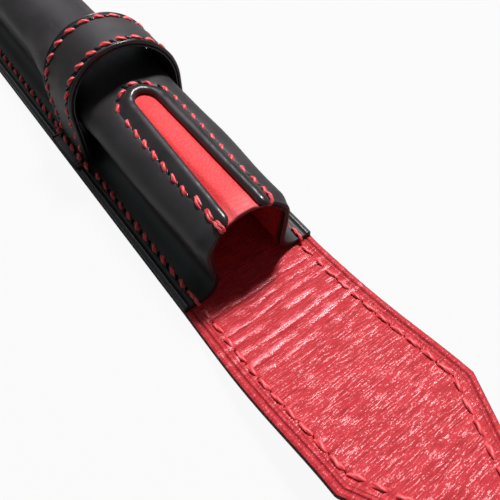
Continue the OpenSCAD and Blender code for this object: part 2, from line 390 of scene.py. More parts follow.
def section(s, y):
    """x, z and the outward direction nx, nz at the distance s along the outer face.

    Each arc is its centre plus its radius times (cos a, sin a), and a falls in proportion
    to the distance. The root is hollow, so there the point lies on the other side. The
    distance y from the mouth only sets the swell.
    """
    s, y = np.broadcast_arrays(np.asarray(s, float), y)
    a1 = np.pi/2 - s/CROWN_R
    a2 = crown_to - (s - ENDS[0])/SHOULDER_R
    k3 = (s - ENDS[1])/LENGTHS[2]
    a4 = flank_angle + (s - ENDS[2])/ROOT_R
    a6 = np.pi/2 - (s - ENDS[4])/EDGE_R
    zero = np.zeros_like(s)
    cases = [s < end for end in ENDS[:6]]
    x = np.select(cases, [CROWN[0] + CROWN_R*np.cos(a1), SHOULDER[0] + SHOULDER_R*np.cos(a2),
                          flank_top[0] + k3*(flank_low - flank_top)[0], ROOT[0] - ROOT_R*np.cos(a4),
                          ROOT[0] + s - ENDS[3], EDGE[0] + EDGE_R*np.cos(a6)], HALF_W)
    z = np.select(cases, [CROWN[1] + CROWN_R*np.sin(a1), SHOULDER[1] + SHOULDER_R*np.sin(a2),
                          flank_top[1] + k3*(flank_low - flank_top)[1], ROOT[1] - ROOT_R*np.sin(a4),
                          SEAM_Z, EDGE[1] + EDGE_R*np.sin(a6)], EDGE[1] - (s - ENDS[5]))
    nx = np.select(cases, [np.cos(a1), np.cos(a2), flank_normal[0], np.cos(a4), zero, np.cos(a6)], 1.0)
    nz = np.select(cases, [np.sin(a1), np.sin(a2), flank_normal[1], np.sin(a4), zero + 1, np.sin(a6)], 0.0)
    out = swell(s, y)
    return x + nx*out, z + nz*out, nx, nz


def s_at(x):
    """Distance along the outer face at which the crown is x from the middle."""
    return CROWN_R*np.arcsin(np.asarray(x, float)/CROWN_R)


print("half section, mm along the leather:", np.round(ENDS, 2).tolist())

# %% [markdown]
# ## Where the window really lies
# The window was cut by hand. It stands a little askew and narrows from the mouth to its
# round end, and the mouth's edge is drawn back between its two fingers. A lattice could
# push the finished meshes there, but the stitches would be squeezed with them. So the
# window, its border and its stitches are planned round an even slot, and these functions
# carry the plan over to the leather.

# %% Where the window really lies
NARROWS_L = 45
SET_BACK = 1.1


def set_back(x, y):
    """How far the mouth's edge lies behind the mouth's line on the crown."""
    return (SET_BACK - 0.015*x)*(1 - rise(np.abs(x), 5.5, 10.5))*(1 - rise(y, 0.5, 10))


def slot_middle(y):
    """How far the window's middle lies to the right."""
    return (-0.3 + 0.95*np.clip(y/NARROWS_L, 0, 1))*(1 - rise(y, 52, 85))


def slot_half(y):
    """Half the window's width, which narrows from the mouth to the round end."""
    return 3.9 - 1.0*np.clip(y/NARROWS_L, 0, 1)


def askew(plan_x, y):
    """From the plan of an even slot to where the points really lie across the crown.

    The slot's edge moves most, and the stitch row keeps its distance from the middle.
    """
    a, e = np.abs(plan_x), slot_half(y)
    beyond = a + (e - WINDOW_R)*np.clip(ROW_R - a, 0, None)/(ROW_R - WINDOW_R)
    return slot_middle(y) + np.sign(plan_x)*np.where(a < WINDOW_R, a*e/WINDOW_R, beyond)


def right_row_in(x, y):
    """How much nearer to the window the right row lies, away from the mouth."""
    return 0.7*rise(x, 3.6, 5.4)*rise(y, 2, 18)


def doubled_in(y):
    """How much nearer to the window the doubled stitches lie, beside the mouth."""
    return 0.8*(1 - rise(y, 9, 15))


def from_slot(x, y):
    """Distance from the slot's edge of a point on the crown, in the plan of an even slot.

    The length of (across, beyond the window's end), less the slot's radius. The channels
    of the doubled stitches and of the right row are drawn nearer, with them.
    """
    x = x - rise(-x, 4.2, 5.6)*doubled_in(y) + right_row_in(x, y)
    a, e = np.abs(x - slot_middle(y)), slot_half(y)
    k = (e - WINDOW_R)/(ROW_R - WINDOW_R)
    even = np.where(a < e, a*WINDOW_R/e, np.where(a < ROW_R, (a - k*ROW_R)/(1 - k), a))
    return np.hypot(even, np.clip(y - WINDOW_END, 0, None)) - WINDOW_R


print("window's half width:", float(slot_half(0)), "to", float(slot_half(NARROWS_L)))

# %% [markdown]
# ## Meshes from grids
# A grid of points becomes a mesh in one step, which is much quicker than adding faces one
# by one. Neighbouring points make four-sided faces. Points that fall on the same place,
# such as where two halves meet, are merged, and the shading is smooth. A mesh carries
# marks, numbers that its material reads. Each piece is then tied to the body that it
# moves with, or, where it spans a zone between two bodies, has its place baked into its
# mesh.

# %% Grid tools
def grid_faces(rows, columns, closed_columns=False):
    """The corners of every face between neighbouring rows and columns."""
    i = np.arange(rows - 1)
    j = np.arange(columns if closed_columns else columns - 1)
    i, j = np.meshgrid(i, j, indexing="ij")
    i2, j2 = i + 1, (j + 1) % columns
    return np.stack([i*columns + j, i2*columns + j, i2*columns + j2, i*columns + j2], -1).reshape(-1, 4)


def make_mesh(name, points, faces, finish, marks=None, uv=None, merge=0.0, normals=None):
    """Puts points in millimetres and faces into a mesh object at the origin."""
    points = np.asarray(points, float).reshape(-1, 3)
    faces = np.asarray(faces, int)
    mesh = bpy.data.meshes.new(name)
    mesh.vertices.add(len(points))
    mesh.vertices.foreach_set("co", (points*MM).ravel())
    mesh.loops.add(faces.size)
    mesh.loops.foreach_set("vertex_index", faces.ravel())
    mesh.polygons.add(len(faces))
    mesh.polygons.foreach_set("loop_start", np.arange(len(faces))*faces.shape[1])
    mesh.update(calc_edges=True)
    mesh.validate()
    for key, value in (marks or {}).items():
        layer = mesh.attributes.new(key, "FLOAT", "POINT")
        layer.data.foreach_set("value", np.asarray(value, np.float32).ravel())
    if uv is not None:
        layer = mesh.uv_layers.new(name="along_the_surface")
        layer.data.foreach_set("uv", np.asarray(uv, float).reshape(-1, 2)[faces.ravel()].ravel())
    mesh.shade_smooth()
    if merge:
        shape = bmesh.new()
        shape.from_mesh(mesh)
        bmesh.ops.remove_doubles(shape, verts=shape.verts, dist=merge*MM)
        shape.to_mesh(mesh)
        shape.free()
    if normals is not None:
        mesh.normals_split_custom_set_from_vertices(np.asarray(normals, float).reshape(-1, 3))
    ob = bpy.data.objects.new(name, mesh)
    ob.data.materials.append(finish)
    bpy.context.scene.collection.objects.link(ob)
    return ob


def face_outward(ob, caps=()):
    """Closes a tube with caps, each a ring of its points, and turns every face outward."""
    shape = bmesh.new()
    shape.from_mesh(ob.data)
    shape.verts.ensure_lookup_table()
    for ring in caps:
        shape.faces.new([shape.verts[k] for k in ring])
    bmesh.ops.recalc_face_normals(shape, faces=shape.faces)
    shape.to_mesh(ob.data)
    shape.free()
    ob.data.shade_smooth()


def tie(ob, nodes, bodies=("sleeve",), zone=None):
    """Lets a piece ride on one body, or, given a zone, only bakes its place into its mesh."""
    if zone:
        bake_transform(ob)
    else:
        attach(ob, *bodies)
    if nodes:
        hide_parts(*nodes)


def spline(p0, p1, p2, p3, f):
    """A cubic step from p1 to p2 as f goes from 0 to 1, with the slopes of its neighbours."""
    return 0.5*(2*p1 + (p2 - p0)*f + (2*p0 - 5*p1 + 4*p2 - p3)*f**2 + (3*p1 - p0 - 3*p2 + p3)*f**3)


print("a grid of 3 by 4 points has", len(grid_faces(3, 4)), "faces")

# %% [markdown]
# ## Soft noise on arrays
# No hand-made surface is quite even. A noise texture could shade that, but the outline
# would stay straight. This noise moves the points themselves: it gives the leather its
# slight waves and the lining its wrinkles. It comes from fixed seeds, so each run makes
# the same sleeve.

# %% Soft noise on arrays
def soft_noise(x, y, seed, octaves=2):
    """Smooth noise from -1 to 1: random slopes at whole numbers, blended between them."""
    total = np.zeros(np.broadcast(x, y).shape)
    for octave in range(octaves):
        rng = np.random.default_rng(seed + octave)
        angle = rng.uniform(0, 2*np.pi, (256, 256))
        px, py = np.asarray(x)*2**octave, np.asarray(y)*2**octave
        ix, iy = np.floor(px).astype(int), np.floor(py).astype(int)
        fx, fy = px - ix, py - iy
        sx, sy = fx**3*(fx*(6*fx - 15) + 10), fy**3*(fy*(6*fy - 15) + 10)

        def slope(dx, dy):
            a = angle[(ix + dx) % 256, (iy + dy) % 256]
            return np.cos(a)*(fx - dx) + np.sin(a)*(fy - dy)

        low = slope(0, 0)*(1 - sx) + slope(1, 0)*sx
        high = slope(0, 1)*(1 - sx) + slope(1, 1)*sx
        total = total + (low*(1 - sy) + high*sy)*1.5/2**octave
    return total


def ridged(x, y, seed, sharp):
    """Noise folded over at zero, so it has sharp crests: 1 on a crest, 0 in the hollows."""
    return np.clip(1 - np.abs(soft_noise(x, y, seed, 1))*sharp, 0, 1)


print("noise at one place:", round(float(soft_noise(0.3, 0.7, 1)), 3))

# %% [markdown]
# ## Black leather
# The outside is smooth black calf: nearly black, half glossy, with a very fine grain. The
# grain is too fine to be modelled, so a bump of small cells shades it. The border of the
# window and the edges are burnished, so they shine. The creases, the root beside the mouth
# and the place under the keeper are painted darker as painted shade, and the mouth's cut
# edge is dark with edge paint. Masks could be painted for that, but the mesh knows where
# its own creases lie, so it carries them as marks. On the flap's cut edge some of the
# lining's red shows.

# %% Black leather
def black_calf():
    """Smooth black leather, with the marks "gloss", "stain" (red) and one that makes it dull and dark:
    painted shade in creases, at the root and under the keeper, and edge paint.
    """
    f = Finish(bpy.data.materials.new("black_calf"))
    at = f.place()
    pebble = f.cells(at, 2600)
    fine = f.noise(at, 5200, 2)
    cloud = f.noise(at, 70, 3)
    scuff = f.noise(f.scaled(at, 900, 260, 900), 1.0, 3, 0.6)
    gloss, shade_and_edge_paint = f.marked("gloss"), f.marked("shade_and_edge_paint")
    tone = f.mix(f.between(cloud, 0.3, 0.7), rgb(35, 30, 32), rgb(49, 44, 47))
    tone = f.mix(f.between(scuff, 0.62, 0.8)*0.35, tone, rgb(74, 70, 74))
    # painted shade: creases, the root by the mouth and the place under the keeper are mixed towards
    # near-black; on the mouth's cut edge the same mark is edge paint
    tone = f.mix(shade_and_edge_paint, tone, rgb(8, 6, 7))
    tone = f.mix(f.marked("stain"), tone, rgb(84, 10, 18))
    rough = 0.46 + 0.14*(cloud - 0.5) + 0.10*(pebble - 0.4) + 0.1*(scuff - 0.5) - 0.24*gloss + 0.3*shade_and_edge_paint
    normal = f.bump(pebble*0.6 + fine*0.4, 0.00004, 0.35)
    return f.surface(base_color=tone, roughness=rough.math("MAXIMUM", 0.14), normal=normal,
                     specular_ior_level=0.55)


black = black_calf()
print("finish:", black.name)

# %% [markdown]
# ## Red lining
# The lining is thin red leather with a shiny coat. Where the flap has been folded, its
# hollows are dull, and only crests and fine streaks are polished, so the light glints on
# them in short lines. Their colour adds to that: the crests and streaks are painted pale
# pink as painted highlight, and the valleys and fine hollows darker as painted shade. The
# strip in the window is matte and brighter, and its brightness is partly painted sheen,
# with its own mottled grain. It is the same leather, so one material makes both, and a
# mark tells them apart.

# %% Red lining
def red_lining():
    """Glossy red lining.

    The mark "ridge" tells the polished crests of the wrinkles, which are also painted paler
    as painted highlight, with their valleys painted darker as painted shade; "matte" the
    strip in the window; "dark" the edge-painted edges and the pressed creases, which are
    painted shade; and "pale" where the strip is paler, towards the mouth.
    """
    f = Finish(bpy.data.materials.new("red_lining"))
    at = f.place()
    matte, ridge = f.marked("matte"), f.marked("ridge")
    fibre = f.noise(f.scaled(at, 330, 3000, 3000), 1.0, 4, 0.62)
    wide = f.noise(f.scaled(at, 90, 620, 620), 1.0, 3, 0.6)
    grain = f.noise(f.scaled(at, 2100, 4200, 4200), 1.0, 3, 0.6)
    cloud = f.noise(at, 130, 3)
    speck = f.noise(at, 2900, 3)
    # painted highlight and shade: the ridge mark lightens the crests and darkens the valleys
    broad = f.between(wide + 0.3*ridge + 0.2*(cloud - 0.5), 0.2, 0.85)
    tone = f.mix(broad, rgb(178, 16, 30), rgb(204, 40, 52))
    # painted shade: the fine hollows of the fibre pattern are darker
    tone = f.mix(f.between(fibre, 0.32, 0.47), rgb(148, 8, 20), tone)
    crest = fibre*0.5 + grain*0.5 + 0.2*ridge
    # painted highlight: crests and streaks are mixed towards pale pink
    tone = f.mix(f.between(crest, 0.51, 0.72), tone, rgb(236, 116, 126))
    # the strip's brighter tone is partly painted sheen; the cloud and speck mixes are its own grain
    strip = f.mix(cloud, rgb(232, 34, 40), rgb(241, 48, 52))
    strip = f.mix(f.between(speck, 0.42, 0.66)*0.5, strip, rgb(248, 96, 98))
    # the strip is mixed paler towards the mouth
    paler_near_mouth = f.marked("pale")*(0.2 + 0.4*f.between(fibre, 0.4, 0.6))
    strip = f.mix(paler_near_mouth, strip, rgb(240, 118, 122))
    tone = f.mix(matte, tone, strip)
    # dark: edge paint on the edges, and painted shade in the flap's pressed creases
    tone = f.mix(f.marked("dark"), tone, rgb(26, 3, 5))
    shine = 0.76 - 0.52*f.between(crest, 0.515, 0.61)
    rough = (shine*(1 - matte) + matte*0.68).math("MAXIMUM", 0.2)
    height = (fibre*0.6 + wide*0.4 + grain*0.5)*(1 - matte*0.85)
    return f.surface(base_color=tone, roughness=rough, normal=f.bump(height, 0.00022, 0.6),
                     specular_ior_level=0.5)


red = red_lining()
print("finish:", red.name)

# %% [markdown]
# ## Waxed thread and stitch holes
# The thread is twisted from two plies and waxed. The plies could be two coiled tubes, but
# that is heavy for some two hundred stitches. The thread's map runs along each stitch
# instead, and slanted bands on it make the plies: each ply's crest is painted lighter and
# the groove between plies darker, as painted highlight and shade. Where it goes into the
# leather, the awl has left a slit, and a dark sheet there is painted shade in the hole.

# %% Waxed thread and stitch holes
def waxed_thread():
    """Red thread with the two plies as a wave across its map."""
    f = Finish(bpy.data.materials.new("waxed_thread"))
    way = f.node("ShaderNodeUVMap", {"uv_map": "along_the_surface"})
    u, v = (f.node("ShaderNodeSeparateXYZ", {}, {0: way}, out=k) for k in (0, 1))
    ply = ((u*1.6 + v*2.0)*6.2832).math("SINE")*0.5 + 0.5
    fuzz = f.noise(f.place(), 9000, 2)
    # painted highlight and shade: the ply bands are lighter on each ply's crest and darker between plies
    tone = f.mix(ply*0.8, rgb(214, 52, 62), rgb(255, 112, 116))
    normal = f.bump(ply*0.8 + fuzz*0.3, 0.00016, 0.7)
    return f.surface(base_color=tone, roughness=0.42, normal=normal, specular_ior_level=0.5)


def painted_hole_shade(name, deep, lip):
    """A dark sheet of painted shade in the awl's slit, between two tones."""
    f = Finish(bpy.data.materials.new(name))
    tone = f.mix(f.noise(f.place(), 4000, 1), deep, lip)
    return f.surface(base_color=tone, roughness=0.8, specular_ior_level=0.1)


thread = waxed_thread()
# dark sheets of painted shade for the awl holes, on black and on red
hole_shade = painted_hole_shade("hole_shade_black", rgb(5, 4, 5), rgb(14, 9, 10))
red_hole_shade = painted_hole_shade("hole_shade_red", rgb(70, 2, 8), rgb(120, 6, 16))
print("finishes:", thread.name, hole_shade.name, red_hole_shade.name)

# %% [markdown]
# ## Path of the sleeve
# The front is a long half barrel with a rounded closed end. Made as a half tube and a
# quarter dome, it would show a line where they meet. So the half section is carried along
# a path like a U: up the right side, half way round the closed end and down the left
# side. That way one grid makes the whole front.

# %% Path of the sleeve
U_LENGTH = 2*STRAIGHT_L + np.pi*HALF_W


def u_path(p):
    """Where a half section stands at the distance p along the U: its y, and its direction.

    The half turn has the length pi times the sleeve's half width.
    """
    turn_l = np.pi*HALF_W
    theta = np.clip((p - STRAIGHT_L)/HALF_W, 0, np.pi)
    y = np.where(p < STRAIGHT_L, p, np.where(p < STRAIGHT_L + turn_l, STRAIGHT_L, 2*STRAIGHT_L + turn_l - p))
    return y, theta


def stand(x, z, y, theta):
    """Points of half sections that stand along the path: x turns about the closed end."""
    return np.stack([x*np.cos(theta), y + x*np.sin(theta) + set_back(x*np.cos(theta), y), z + 0*y], -1)


def mouth_rows(inset, thickness, tuck):
    """Rows that round the cut edge of a sheet at the mouth: how far in from its face, and y."""
    r = 0.28*thickness
    a = np.linspace(0, np.pi/2, 4)
    inner = [inset + thickness + 0*a[:1], inset + thickness - r + r*np.cos(a)]
    deep = np.concatenate(inner + [inset + r - r*np.sin(a)])
    y = np.concatenate([[tuck], r - r*np.sin(a), r - r*np.cos(a)])
    return deep, y


def there_and_back(half):
    """Distances along the whole U, from those of its right half."""
    return np.concatenate([half, U_LENGTH - half[-2::-1]])


def mirrored(values):
    """Values for the whole U as a column, from those of its right half."""
    return np.concatenate([values, values[-2::-1]])[:, None]


print("U path", round(U_LENGTH, 1), "mm")

# %% [markdown]
# ## The front leather
# The front is one sheet, moulded wet over a form. The window could be cut out of it with
# a boolean, but that leaves long thin faces that shade badly. Here each row starts under
# the rolled border instead, so the window's outline is the sheet's own edge. The first
# and last rows turn the leather's cut edge at the mouth, which is darkened as edge paint.
# Along the seam the leather has a pressed crease, a burnished bead outside it and a
# channel in which the stitches lie; the crease is painted darker as painted shade. Under
# the keeper little light reaches it, so there, and at the root beside the mouth, the
# leather is painted darker as painted shade.

# %% The front leather
SLOT_LIP = 1.5
SLOT_R = WINDOW_R + SLOT_LIP


def seam_relief(d):
    """Height of the seam at the distance d from its edge: a pressed crease and a bead."""
    return -0.28*bumps(d, CREASE_D, 0.42) + 0.12*bumps(d, 1.05, 0.62) - 0.16*bumps(d, 3.4, 1.1)


def border_relief(d):
    """Height of the sheet near the window: a channel for the stitches, then under the roll."""
    return -0.14*bumps(d, 3.65, 1.0) - 0.5*(1 - rise(d, 2.6, 3.3))


def front_rows():
    """Distances along the U, denser beside the window, and how far in from its face each is."""
    deep, rim_y = mouth_rows(0, LEATHER, 3.0)
    side = steps((rim_y[-1] + 0.2, WINDOW_END, 0.7))
    bow = WINDOW_END + SLOT_R*np.sin(np.linspace(0, np.pi/2, 20))[1:]
    rest = steps((bow[-1] + 0.25, 53, 0.3), (53.6, STRAIGHT_L, 0.9))
    turn = STRAIGHT_L + np.linspace(0, np.pi*HALF_W/2, 45)[1:]
    half = np.concatenate([rim_y, side, bow, rest, turn])
    return there_and_back(half), mirrored(np.concatenate([deep, 0*half[len(deep):]]))


def front_columns(y, hand):
    """Distances along each row's half section, from the slot's outline to the cut edge.

    Half the opening is the square root of the slot's radius squared less the square of the
    distance beyond the window's end.
    """
    opening = np.sqrt(np.clip(SLOT_R**2 - np.clip(y - WINDOW_END, 0, None)**2, 0, None))
    start = s_at(hand*askew(hand*opening + hand*1e-9, y))[:, None]
    near = start + steps((0, 3.2, 0.16))[None, :]
    body = near[:, -1:] + (ENDS[3] - near[:, -1:])*steps((0, 1, 1/30))[None, 1:]
    flat = ENDS[3] + steps((0, LENGTHS[4], 0.12))[1:]
    edge = ENDS[4] + np.concatenate([np.linspace(0, LENGTHS[5], 6)[1:],
                                     LENGTHS[5] + np.linspace(0, LENGTHS[6], 4)[1:]])
    tail = np.broadcast_to(np.concatenate([flat, edge]), (len(y), len(flat) + len(edge)))
    return np.concatenate([near, body, tail], 1)


def front_marks(s, y, from_edge, rim):
    """Where the front is burnished, and where it is darkened: painted shade in the crease, at the root and
    under the keeper, and edge paint on the mouth's cut edge.
    """
    on_seam = s > ENDS[3]
    gloss = np.clip(0.9*bumps(from_edge, 1.0, 0.7)*on_seam + (s > ENDS[4])*1.0 + 0.4*rim, 0, 1)
    # painted shade: the pressed crease is darkened
    crease = np.clip(1.2*bumps(from_edge, CREASE_D, 0.4)*on_seam, 0, 1)*0.8
    # painted shade: the root beside the mouth is darkened
    root = bumps(s, ENDS[3] - 1.5, 5)*(1 - rise(y, 3, 11))
    # painted shade under the keeper
    under_keeper = 0.75*(rise(y, 50, 58)*(1 - rise(y, 66, 72)))*(1 - rise(s, 12, 18))
    # on the mouth's cut edge (rim) the same mark darkens it as edge paint
    return {"gloss": gloss, "shade_and_edge_paint": np.maximum.reduce([crease, 0.6*rim + 0*s, 0.8*root, under_keeper])}


def front_sheet():
    """The half section along the U, with the slot's outline as the start of each row."""
    p, inset = front_rows()
    y, theta = u_path(p)
    hand = np.where(theta < np.pi/2, 1.0, -1.0)
    s = front_columns(y, hand)
    y, theta = y[:, None], theta[:, None]
    x, z, nx, nz = section(s, y)
    from_edge = np.where(s <= ENDS[4], ENDS[3] + HALF_W - ROOT[0] - s, 0)
    relief = np.where((s > ENDS[3] - 1) & (s <= ENDS[4]), seam_relief(from_edge), 0)
    relief = relief + np.where((y < 56) & (s < 9), border_relief(from_slot(hand[:, None]*x, y)), 0)
    mould = 0.10*soft_noise(p[:, None]/16, s/7, 3)*np.clip((ENDS[3] - s)/4, 0, 1)*np.clip(s/6, 0, 1)
    lift = relief + mould - inset
    points = stand(x + nx*lift, z + nz*lift, y, theta)
    ob = make_mesh("front_leather_sheet", points, grid_faces(*points.shape[:2]), black,
                   front_marks(s, y, from_edge, (inset > 0)*1.0), merge=0.004)
    tie(ob, ["front_leather"])
    return ob


front = front_sheet()
print("front leather:", len(front.data.polygons), "faces")

# %% [markdown]
# ## The front lining
# The lining is moulded with the front. It could be a thickened copy of it, most of which
# nobody sees. One folded sheet was chosen, because the lining shows in three places: in
# the window, where it bulges a little, at the mouth's rim and inside the barrel. Its rim
# is painted dark.

# %% The front lining
STRIP_BULGE = 0.5


def front_lining_sheet():
    """Outer face over the window, round the rim and back along the inside to the closed end."""
    deep, rim_y = mouth_rows(LEATHER, LINING, 0.3)
    outside = steps((0.5, 52, 0.9))[::-1]
    inside = np.concatenate([steps((0.8, STRAIGHT_L, 1.6)),
                             STRAIGHT_L + np.linspace(0, np.pi*HALF_W/2, 30)[1:]])
    p = there_and_back(np.concatenate([outside, rim_y[::-1], inside]))
    inset = mirrored(np.concatenate([LEATHER + 0*outside, deep[::-1], WALL + 0*inside]))
    rim = mirrored(np.concatenate([0*outside, 1 + 0*rim_y, 0*inside]))
    y, theta = (v[:, None] for v in u_path(p))
    across = np.concatenate([steps((0, 6, 0.5)), steps((6.6, ENDS[4], 0.7))])
    s = np.broadcast_to(across, (len(p), len(across)))
    x, z, nx, nz = section(s, y)
    outer = np.clip((WALL - inset)/LINING, 0, 1)
    bulge = STRIP_BULGE*outer*(1 - rise(s, 2.0, 3.8))*(1 - rise(y, 40, 46))
    sway = 0.05*soft_noise(p[:, None]/6, s/3, 11) + bulge
    points = stand(x + nx*(sway - inset), z + nz*(sway - inset), y, theta)
    strip = (inset < LEATHER + 0.3)*1.0 + 0*s
    behind_rim = (inset > WALL - 0.01)*(1 - rise(y, 0.5, 2.6))
    dark = np.maximum(rim*(0.7 + 0.3*rise(s, 5.5, 6.5)), 0.9*behind_rim*rise(s, 5.5, 6.5))
    ob = make_mesh("front_lining_sheet", points, grid_faces(*points.shape[:2]), red,
                   {"matte": strip, "ridge": 0*s, "dark": dark, "pale": strip*(1 - rise(y, 1, 9))},
                   merge=0.004)
    tie(ob, ["front_lining"])
    return ob


front_red = front_lining_sheet()
print("front lining:", len(front_red.data.polygons), "faces")

# %% [markdown]
# ## The rolled border
# Round the window the leather is rolled over a cord. A curve with a round bevel comes
# close to it, but the real roll is flatter outside and steep inside. So it is a closed
# tube with a section of its own, carried round the slot. Its two ends at the mouth are
# rounded like fingertips, and the right one reaches a little further.

# %% The rolled border
ROLL_SECTION = np.array([
    (3.75, -0.16), (3.3, 0.04), (2.8, 0.36), (2.2, 0.64), (1.6, 0.82), (1.0, 0.88), (0.45, 0.74),
    (0.08, 0.42), (-0.1, 0.05), (-0.1, -0.35), (0.05, -0.8), (0.4, -1.0), (1.2, -0.9),
    (2.0, -0.6), (3.0, -0.45), (3.6, -0.34)])
ROLL_MIDDLE = 1.75
TIP_L = 2.0
LONGER_FINGER = 0.7


def closed_curve(c, count):
    """A smooth closed curve through the corners."""
    t = np.arange(count)*len(c)/count
    i, f = t.astype(int), (t % 1)[:, None]
    return spline(*(c[(i + k) % len(c)] for k in (-1, 0, 1, 2)), f)


def rolled_border():
    """A section carried round the slot's outline and laid on the crown.

    The section gives the distance out from the slot's edge and the height. Near the tips it
    shrinks towards its middle as the square root of 1 minus the square of the distance.
    """
    leg = WINDOW_END
    ring = closed_curve(ROLL_SECTION, 32)
    r = WINDOW_R + ROLL_MIDDLE
    tip = TIP_L*(1 - np.cos(np.linspace(0.08, np.pi/2, 10)))
    bow = leg + np.linspace(0, np.pi*r/2, 26)[1:]
    half = np.concatenate([tip, steps((TIP_L + 0.4, leg, 0.7)), bow])
    whole = 2*leg + np.pi*r
    p = np.concatenate([half, whole - half[-2::-1]])[:, None]
    theta = np.clip((p - leg)/r, 0, np.pi)
    y = np.where(p < leg, p, np.where(p < leg + np.pi*r, leg, whole - p)) - 0.1
    to_tip = np.minimum(p, whole - p)
    size = np.sqrt(np.clip(1 - (1 - np.clip(to_tip/TIP_L, 0, 1))**2, 0, 1))
    worn = 1 + 0.09*soft_noise(p/2.6, 0*p + 0.3, 21)
    across = ring[None, :, 0] - ROLL_MIDDLE
    narrow = 1 - 0.22*(across > 0)*rise(np.cos(theta), 0, 0.8)*rise(y, 2, 18)
    out = r + across*narrow*size
    height = ring[None, :, 1]*size*worn
    plan_x, plan_y = out*np.cos(theta), y + out*np.sin(theta)
    plan_y = plan_y - LONGER_FINGER*(p < leg)*(1 - rise(p, 0, 14))
    x = askew(plan_x, plan_y)
    bx, bz, nx, nz = section(s_at(np.abs(x)), plan_y)
    points = np.stack([np.sign(x)*(bx + nx*height), plan_y + set_back(x, plan_y), bz + nz*height], -1)
    gloss = 0.1 + 0.6*rise(height, 0.15, 0.8)
    n = len(ring)
    ob = make_mesh("window_border", points, grid_faces(len(p), n, closed_columns=True), black,
                   {"gloss": gloss, "shade_and_edge_paint": 0*gloss})
    face_outward(ob, [np.arange(n)[::-1], (len(p) - 1)*n + np.arange(n)])
    tie(ob, ["front_leather"])
    return ob


border = rolled_border()
print("window border:", len(border.data.polygons), "faces")

# %% [markdown]
# ## Path and outline of the flap
# The back panel and the flap are one strip. A flat strip could be bent by a modifier, but
# the stitches have to know where it lies, so formulas give its line and its outline. At
# rest the flap rises from the table by ten degrees, so the line is a straight, a gentle
# arc at the bend and another straight. The outline goes from the round closed end along
# the sleeve, widens a little over the flap, and tapers from two rounded corners to the
# tongue.

# %% Path and outline of the flap
def flap_path(u):
    """y, z and tilt of the lining's face at the distance u from the mouth, negative inside.

    Between u0 and u1 the tilt grows evenly, so the strip lies on an arc of the radius
    (u1 - u0)/angle. Before it is flat and after it is straight.
    """
    u0, u1 = HINGE_U - BEND_HALF, HINGE_U + BEND_HALF
    radius = (u1 - u0)/RISE_ANGLE
    tilt = np.clip((u - u0)/radius, 0, RISE_ANGLE)
    beyond = np.clip(u - u1, 0, None)
    y = -(np.minimum(u, u0) + radius*np.sin(tilt) + beyond*np.cos(tilt))
    z = WALL + radius*(1 - np.cos(tilt)) + beyond*np.sin(tilt)
    return y, z, tilt


def half_width(u):
    """Half the strip's width at u, negative inside the sleeve.

    The least of the closed end's circle, the straight and the taper's line, but no less
    than the tongue's, and from the middle of the tip's circle on that circle.
    """
    closed = np.sqrt(np.clip(HALF_W**2 - np.clip(-u - STRAIGHT_L, 0, HALF_W)**2, 0, None))
    line = FLAP_W - (u - CORNER_U)*np.tan(TAPER)
    straight = HALF_W + 0.3*rise(u, 0, 3) + (FLAP_W - HALF_W - 0.3)*rise(u, 35, 49)
    wide = soft_least(straight, line, 0.6)
    body = -soft_least(-wide, np.full_like(u, -TONGUE_R), 1.3)
    tip = np.sqrt(np.clip(TONGUE_R**2 - np.clip(u - TIP_U, 0, TONGUE_R)**2, 0, None))
    return np.where(u > TIP_U, tip, np.minimum(body, closed))


def drift(u):
    """The flap leans a little to the left about 24 mm from the mouth."""
    return -0.7*bumps(u, 24, 25)


print("half widths:", np.round(half_width(np.array([0, 40.0, 60, 80, 110])), 2).tolist())

# %% [markdown]
# ## Wrinkles of the lining
# The lining lies on the inside of the bend, so it is pressed together and wrinkles. A
# cloth simulation would also fold the strip's outline, which stiff leather keeps, so the
# wrinkles are layers of folded noise. Strong folds lie across the first 25 mm, where the
# flap bends most. Each is a broad, streaky crest with a sharp valley beside it, and the
# crests are painted paler and the valleys darker, as painted highlight and shade. Beyond,
# there are fine folds, all of them across the flap and many times longer than they are
# wide.

# %% Wrinkles of the lining
FOLD_PITCH = 3.25


